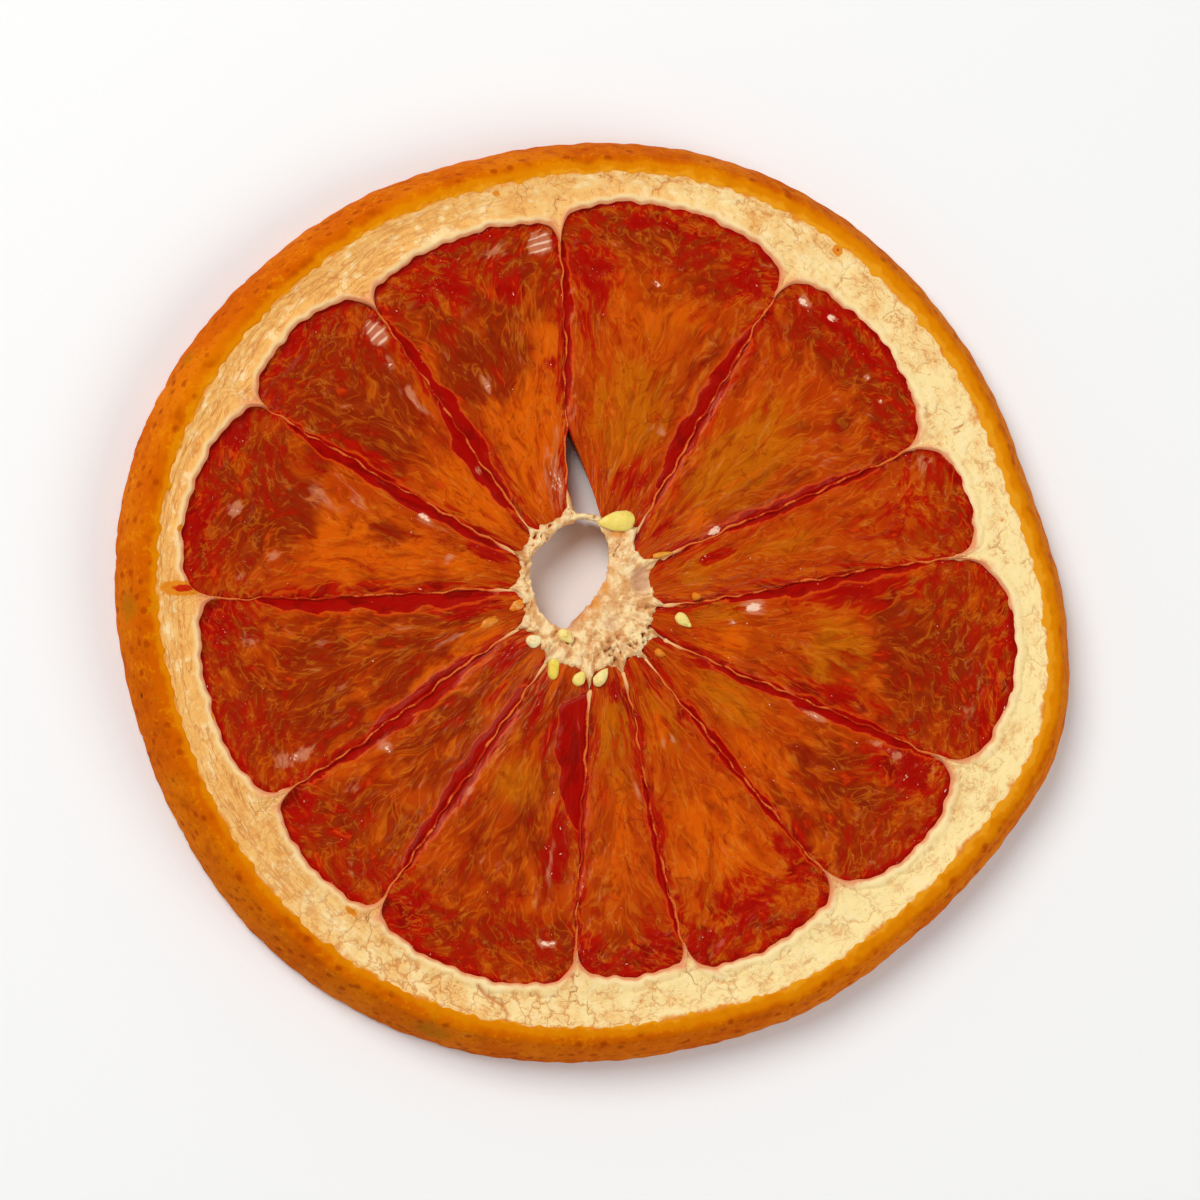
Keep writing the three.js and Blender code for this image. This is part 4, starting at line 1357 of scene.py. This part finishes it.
# A ring of points round the hole: rows up the hole's wall, out over the top and back below.
def makeCore():
    share = eased(coreShape["columnsPerSegment"], 0.6, endpoint=False)
    angles, radii, teeth = [], [], []
    for index in range(segmentCount):
        angle, radius = innerEnd(index, share)
        span = math.radians(angle[-1] - angle[0]) * coreShape["radius"]
        aside = np.minimum(share, 1 - share) * span
        angles.append(angle)
        radii.append(radius)
        teeth.append(coreShape["toothLength"] * np.exp(-aside / coreShape["toothWidth"]))
    angle, radius = np.concatenate(angles), np.concatenate(radii)
    outer = pointAt(angle, radius, 0.0)
    at = coreShape["raggedRadius"]
    ragged = wobble(np.radians(angle) * at, (0.7, 1.1, 1.9), 17, 2 * np.pi * at)
    past = coreShape["past"] + coreShape["raggedness"] * ragged
    tips = pointAt(angle, radius + past + np.concatenate(teeth), 0.0)
    centre = np.array([*sliceShape["axisPlace"], 0.0]) + (*sliceShape["holePlace"], 0.0)
    way = outer - centre
    length = evened(np.linalg.norm(way, axis=1), coreShape["evenColumns"])
    turn = np.degrees(np.unwrap(np.arctan2(way[:, 1], way[:, 0])))
    steady = turn[0] + np.arange(len(turn)) * 360 / len(turn)
    turn = steady + evened(turn - steady, coreShape["evenColumns"])
    way = np.stack((np.cos(np.radians(turn)), np.sin(np.radians(turn)), 0 * turn), axis=-1)
    outer = centre + way * length[:, None]
    spike = tips - outer
    reach = aroundRing(coreShape["holeRadii"], turn)
    at = coreShape["holeRadius"]
    uneven = wobble(np.radians(turn) * at, (0.6, 1.0, 1.7, 2.9), 19, 2 * np.pi * at)
    reach = np.minimum(reach + coreShape["holeWobble"] * uneven, length - coreShape["leastWidth"])
    rim = centre + way * reach[:, None]
    side = math.radians(coreShape["undercutSide"])
    lean = np.array([math.cos(side), math.sin(side), 0.0])
    leaning = smooth(way @ lean, -0.3, 0.4)[:, None] * coreShape["undercut"] * lean
    top, bottom, drop = coreShape["top"], coreShape["bottom"], coreShape["rimDrop"]
    rows = []  # place, height, how much it faces up or down, and share outwards
    for height in np.linspace(bottom + drop, top - drop, coreShape["holeRows"]):
        rows.append((rim + leaning * (top - height), height, 0.0, 0.0))

    def addFace(edge, level, facing, fall, shares):
        for share in shares:
            place = edge + (outer - edge) * share + spike * share**7
            sunk = drop * (1 - share) ** 4 + fall * float(smooth(share, 0.85, 1.0))
            turned = facing * float(smooth(share, 0.0, 0.08))
            rows.append((place, level - facing * sunk, turned, share if facing > 0 else 0.0))

    addFace(rim, top, 1, 0.8, np.linspace(0.02, 1, coreShape["topRows"]))
    rows.append((outer + spike, 2.6, 0.0, 1.0))
    foot = rim + leaning * (top - bottom)
    addFace(foot, bottom, -1, 0.7, np.linspace(1, 0.02, coreShape["bottomRows"]))
    points = np.stack([row[0] * (1, 1, 0) + (0, 0, row[1]) for row in rows], axis=1)
    x, y = (points[..., axis] - sliceShape["axisPlace"][axis] for axis in (0, 1))
    distance = np.hypot(x, y)
    fields = {
        "dent": spread(coreDents, x, y),
        "open": spread(coreSponge, x, y),
        "stain": spread(coreStains, x, y),
        "radial": np.stack((6 * x / distance, 6 * y / distance, 0.3 * distance), axis=-1),
        "upward": alongRows([row[2] for row in rows], len(x)),
        "outward": alongRows([row[3] for row in rows], len(x)),
    }
    return makeMesh("core", points, gridFaces(*x.shape, True, True), fields)


# The core's sponge: 1 on its strands, 0 in its pits.
def spongeStrands(g, place, size):
    bent = g.bent(g.scaled(place, (1000.0, 1000.0, 350.0)), (1.1,) * 3, (1.5, 1.5, 0.0), 3.0)
    return g.remap(g.voronoi(bent, 1.0 / size, "DISTANCE_TO_EDGE"), 0.34, 0.08)


# Ridges of the core that run out towards the segments, for the relief and for the painted light and shade
# that follow them.
def coreRidges(g):
    ridges = g.noise(g.stored("radial", True), 1.15, 2.0, 0.55, 0.4)
    return (ridges - 0.5) * g.remap(g.stored("outward"), 0.25, 0.8)


# Pits where the core is open sponge, fine grain, dents and ridges.
def coreBody(g, inputs):
    place = g.value("GeometryNodeInputPosition")
    dent = g.stored("dent")
    strands = spongeStrands(g, place, inputs["Pit Size"])
    pits = (strands - 1.0) * inputs["Pit Depth"]
    opened = g.stored("open") + g.remap(g.noise(place, 420.0, 2.0), 0.45, 0.65, 0.0, 0.45)
    opened = g.math("MULTIPLY", opened, 1.0 - dent, clamp=True)
    sponge = g.noise(place, 1100.0, 3.0, 0.6) - 0.5
    depth = sponge * inputs["Sponge Depth"] + pits * opened - dent * inputs["Dent Depth"]
    depth = depth + coreRidges(g) * inputs["Ridge Depth"]
    # pit marks the open pits, for their painted shade.
    core = g.store(inputs["Geometry"], "pit", (1.0 - strands) * opened)
    return g.moved(core, g.combine(0.0, 0.0, depth * g.stored("upward") * mm))


coreFinish = {
    "cream": rgb(224, 166, 104),
    # light is also laid on the ridges' crests as painted light.
    "light": rgb(254, 222, 166),
    # pit: painted shade in the pits and between the ridges, and brown specks.
    "pit": rgb(176, 98, 34),
    "thin": rgb(204, 148, 110),
    "rim": rgb(226, 160, 118),
    "amber": rgb(228, 140, 36),
}


def makeCoreMaterial():
    paint = Paint("driedCore", coreFinish, "cream")
    g = paint.g
    sponge, veins, fine = grainAt(g, g.place(), blotch=1.1, vein=1.3, width=0.03, grain=0.3)
    paint.mix("light", g.remap(sponge, 0.38, 0.62))
    paint.over("amber", veins, sponge, -1.0, 0.6, 1.0, 0.3)
    # Painted light on the ridges' crests and painted shade between them.
    ridges = coreRidges(g)
    paint.over("light", ridges, fine, 0.1, 0.02, 0.12, 0.7)
    paint.over("pit", ridges * -1.0, fine, 0.1, 0.04, 0.16, 0.6)
    paint.over("rim", g.remap(g.stored("outward"), 0.12, 0.0), sponge, 1.0, 0.4, 0.9, 0.6)
    paint.over("thin", g.stored("dent"), fine, 0.5, 0.25, 0.75, 0.85)
    # Painted shade in the open pits.
    paint.over("pit", g.stored("pit"), fine, 0.4, 0.3, 0.95, 0.75)
    paint.over("pit", 1.0 - fine, sponge, -0.5, 0.56, 0.75, 0.35)
    paint.over("amber", g.stored("stain"), sponge, 0.9, 0.25, 1.0, 0.8)
    surface = {
        "Roughness": g.remap(g.stored("dent"), 0.0, 0.8, 0.65, 0.4),
        "Normal": g.bump(0.4, 0.12, fine),
        "Specular IOR Level": 0.2,
        "Subsurface Weight": 0.25,
        "Subsurface Radius": (1.0, 0.6, 0.3),
        "Subsurface Scale": 0.6 * mm,
    }
    return paint.finished(surface)


print("core")
coreMaterial = makeCoreMaterial()
coreTree = makeGeometryTree("coreSponge", coreRelief, coreBody)
corePiece = applyTree(makeCore(), coreTree, coreRelief, coreMaterial)


pipSizes = {"Shrivel Depth": 0.42}
pipShape = {"halfHeight": 0.5, "bluntEnd": 1.15, "pointedEnd": 0.55}
# Place from the axis, half length, half width, turn, height of the middle, how yellow.
pipRows = (
    *((2.15, 7.5, 1.75, 1.12, 187, 5.1, 0.75), (-2.8, -3.45, 0.85, 0.64, -40, 4.95, 0.55)),
    *((8.7, -1.75, 0.9, 0.6, -35, 4.62, 0.6), (-5.75, -3.9, 0.8, 0.7, 30, 4.7, 0.0)),
    *((-3.85, -6.1, 1.45, 0.62, 84, 4.6, 1.05), (-1.4, -7.35, 0.8, 0.66, 60, 4.7, 0.65)),
    *((0.7, -7.2, 1.05, 0.64, 52, 4.75, 0.45), (6.45, -4.85, 0.6, 0.45, -20, 4.55, 1.6)),
    *((6.75, 4.5, 1.0, 0.3, 12, 4.55, 1.4), (10.0, 0.6, 0.5, 0.42, 0, 4.45, 1.6)),
    *((-7.5, -0.7, 1.1, 0.7, 205, 4.35, 1.6), (-9.7, -2.0, 1.6, 0.55, 30, 4.25, 1.6)),
)


def makePipPoints():
    rows = np.array(pipRows)
    x, y = sliceShape["axisPlace"]
    points = np.stack((x + rows[:, 0], y + rows[:, 1], rows[:, 5]), axis=-1)
    height = np.full(len(rows), pipShape["halfHeight"])
    fields = {
        "pipSize": np.stack((rows[:, 2], rows[:, 3], height), axis=-1) * mm,
        "pipTurn": np.radians(rows[:, 4]),
        "yellow": rows[:, 6],
    }
    return makeMesh("pips", points, np.zeros((0, 4), int), fields)


# A pip at each point: a ball narrowed to one end and shrivelled a little.
def pipBody(g, inputs):
    seed = g.value("GeometryNodeMeshUVSphere", {"Segments": 28, "Rings": 18, "Radius": 1.0})
    place = g.value("GeometryNodeInputPosition")
    x, y, z = g.split(place)
    narrow = g.remap(x, -1.0, 1.0, pipShape["bluntEnd"], pipShape["pointedEnd"], "LINEAR")
    formed = g.combine(x, y * narrow, z * narrow)
    seed = g.value("GeometryNodeSetPosition", {"Geometry": seed, "Position": formed})
    turn = g.combine(0.0, 0.0, g.stored("pipTurn"))
    size = g.stored("pipSize", True)
    copies = {"Points": inputs["Geometry"], "Instance": seed, "Rotation": turn, "Scale": size}
    copies = g.value("GeometryNodeInstanceOnPoints", copies)
    seeds = g.value("GeometryNodeRealizeInstances", {"Geometry": copies})
    shrivel = (g.noise(place, 1100.0, 3.0, 0.6) - 0.5) * inputs["Shrivel Depth"] * mm
    return g.moved(seeds, g.lengthened(g.value("GeometryNodeInputNormal"), shrivel))


pipFinish = {"pale": rgb(250, 232, 176), "yellow": rgb(242, 216, 84), "amber": rgb(226, 130, 14)}


def makePipMaterial():
    paint = Paint("pip", pipFinish, "pale")
    g = paint.g
    yellow = g.stored("yellow")
    mottle, _, fine = grainAt(g, g.place(), blotch=0.7, vein=0.6, grain=0.2)
    paint.mix("yellow", g.remap(yellow, 0.0, 1.0))
    paint.mix("amber", g.remap(yellow, 1.0, 1.6))
    paint.over("amber", mottle, fine, 0.4, 0.54, 0.72, 0.45)
    paint.over("pale", 1.0 - mottle, fine, 0.4, 0.56, 0.72, 0.4)
    surface = {
        "Roughness": g.remap(mottle, 0.3, 0.7, 0.3, 0.5),
        "Specular IOR Level": 0.3,
        "Subsurface Weight": 0.25,
        "Subsurface Radius": (1.0, 0.7, 0.3),
        "Subsurface Scale": 0.4 * mm,
    }
    return paint.finished(surface)


print("pips")
pipMaterial = makePipMaterial()
pipTree = makeGeometryTree("pipCopies", pipSizes, pipBody)
pipPiece = applyTree(makePipPoints(), pipTree, pipSizes, pipMaterial)


# Every piece belongs to the one body and stands in for its solid.
for piece, slot in (
    *((piece, "pulp") for piece in pulpPieces),
    (membranePiece, "membrane"),
    (pithPiece, "pith"),
    (rindPiece, "rind"),
    (corePiece, "core"),
    (pipPiece, "pip"),
):
    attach(piece, "root")
    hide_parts("slice")


studio = {
    "floorSize": 3.0,
    "floorColour": rgb(250, 250, 249),
    "floorShade": 0.985,
    "skyStrength": 0.45,
    "skyTop": 0.25,  # the part of it that comes from straight above
    "keyPower": 4.6,
    "keySize": 0.45,
    "keyPlace": (-0.38, 0.34, 0.62),
    "fillPower": 1.8,
    "fillSize": 0.5,
    "fillPlace": (0.5, -0.3, 0.5),
}


def makeFloor():
    half = studio["floorSize"] / 2 / mm
    corners = [(-half, -half, 0), (half, -half, 0), (half, half, 0), (-half, half, 0)]
    floor = makeMesh("floor", corners, [(0, 1, 2, 3)])
    light = studio["floorColour"]
    cloudy = (*(studio["floorShade"] * channel for channel in light[:3]), 1.0)
    paint = Paint("paleFloor", {"light": light, "cloudy": cloudy}, "light")
    paint.mix("cloudy", paint.g.noise(paint.g.value("ShaderNodeTexCoord", None, "Object"), 6.0, 2.0))
    floor.data.materials.append(paint.finished({"Roughness": 0.9, "Specular IOR Level": 0.1}))


def makeLight(name, place, power, size):
    data = bpy.data.lights.new(name, "AREA")
    data.shape = "DISK"
    data.energy = power
    data.size = size
    light = bpy.data.objects.new(name, data)
    light.location = place
    light.rotation_mode = "QUATERNION"
    light.rotation_quaternion = (-Vector(place)).to_track_quat("-Z", "Y")
    bpy.context.scene.collection.objects.link(light)


def makeSky():
    world = bpy.data.worlds.new("studioSky")
    world.use_nodes = True
    g = Graph(world.node_tree)
    height = g.split(g.value("ShaderNodeTexCoord", None, "Generated"))[2]
    strength = studio["skyStrength"]
    background = world.node_tree.nodes["Background"]
    background.inputs["Color"].default_value = (1.0, 1.0, 1.0, 1.0)
    g.feed(background.inputs["Strength"], g.remap(height, 0.6, 0.85, strength, studio["skyTop"] * strength))
    bpy.context.scene.world = world


view = {
    "tilt": 14,  # from straight above, in degrees
    "side": 200,  # the side it leans to
    "middle": 2.5,  # the height of the point it looks at, in millimetres
    "distance": 1.5,
    "lens": 476.7,
}


def makeCamera():
    data = bpy.data.cameras.new("camera")
    data.lens = view["lens"]
    data.clip_start = 0.1
    camera = bpy.data.objects.new("camera", data)
    tilt, side = math.radians(view["tilt"]), math.radians(view["side"])
    flat = math.sin(tilt)
    back = Vector((flat * math.cos(side), flat * math.sin(side), math.cos(tilt)))
    camera.location = Vector((0, 0, view["middle"] * mm)) + back * view["distance"]
    right = Vector((0, 1, 0)).cross(back).normalized()
    up = back.cross(right)
    turn = Matrix((right, up, back)).transposed()
    camera.rotation_mode = "QUATERNION"
    camera.rotation_quaternion = turn.to_quaternion()
    bpy.context.scene.collection.objects.link(camera)
    bpy.context.scene.camera = camera


print("studio")
makeFloor()
makeLight("keyLight", studio["keyPlace"], studio["keyPower"], studio["keySize"])
makeLight("fillLight", studio["fillPlace"], studio["fillPower"], studio["fillSize"])
makeSky()
makeCamera()
bpy.context.scene.view_settings.view_transform = "Standard"
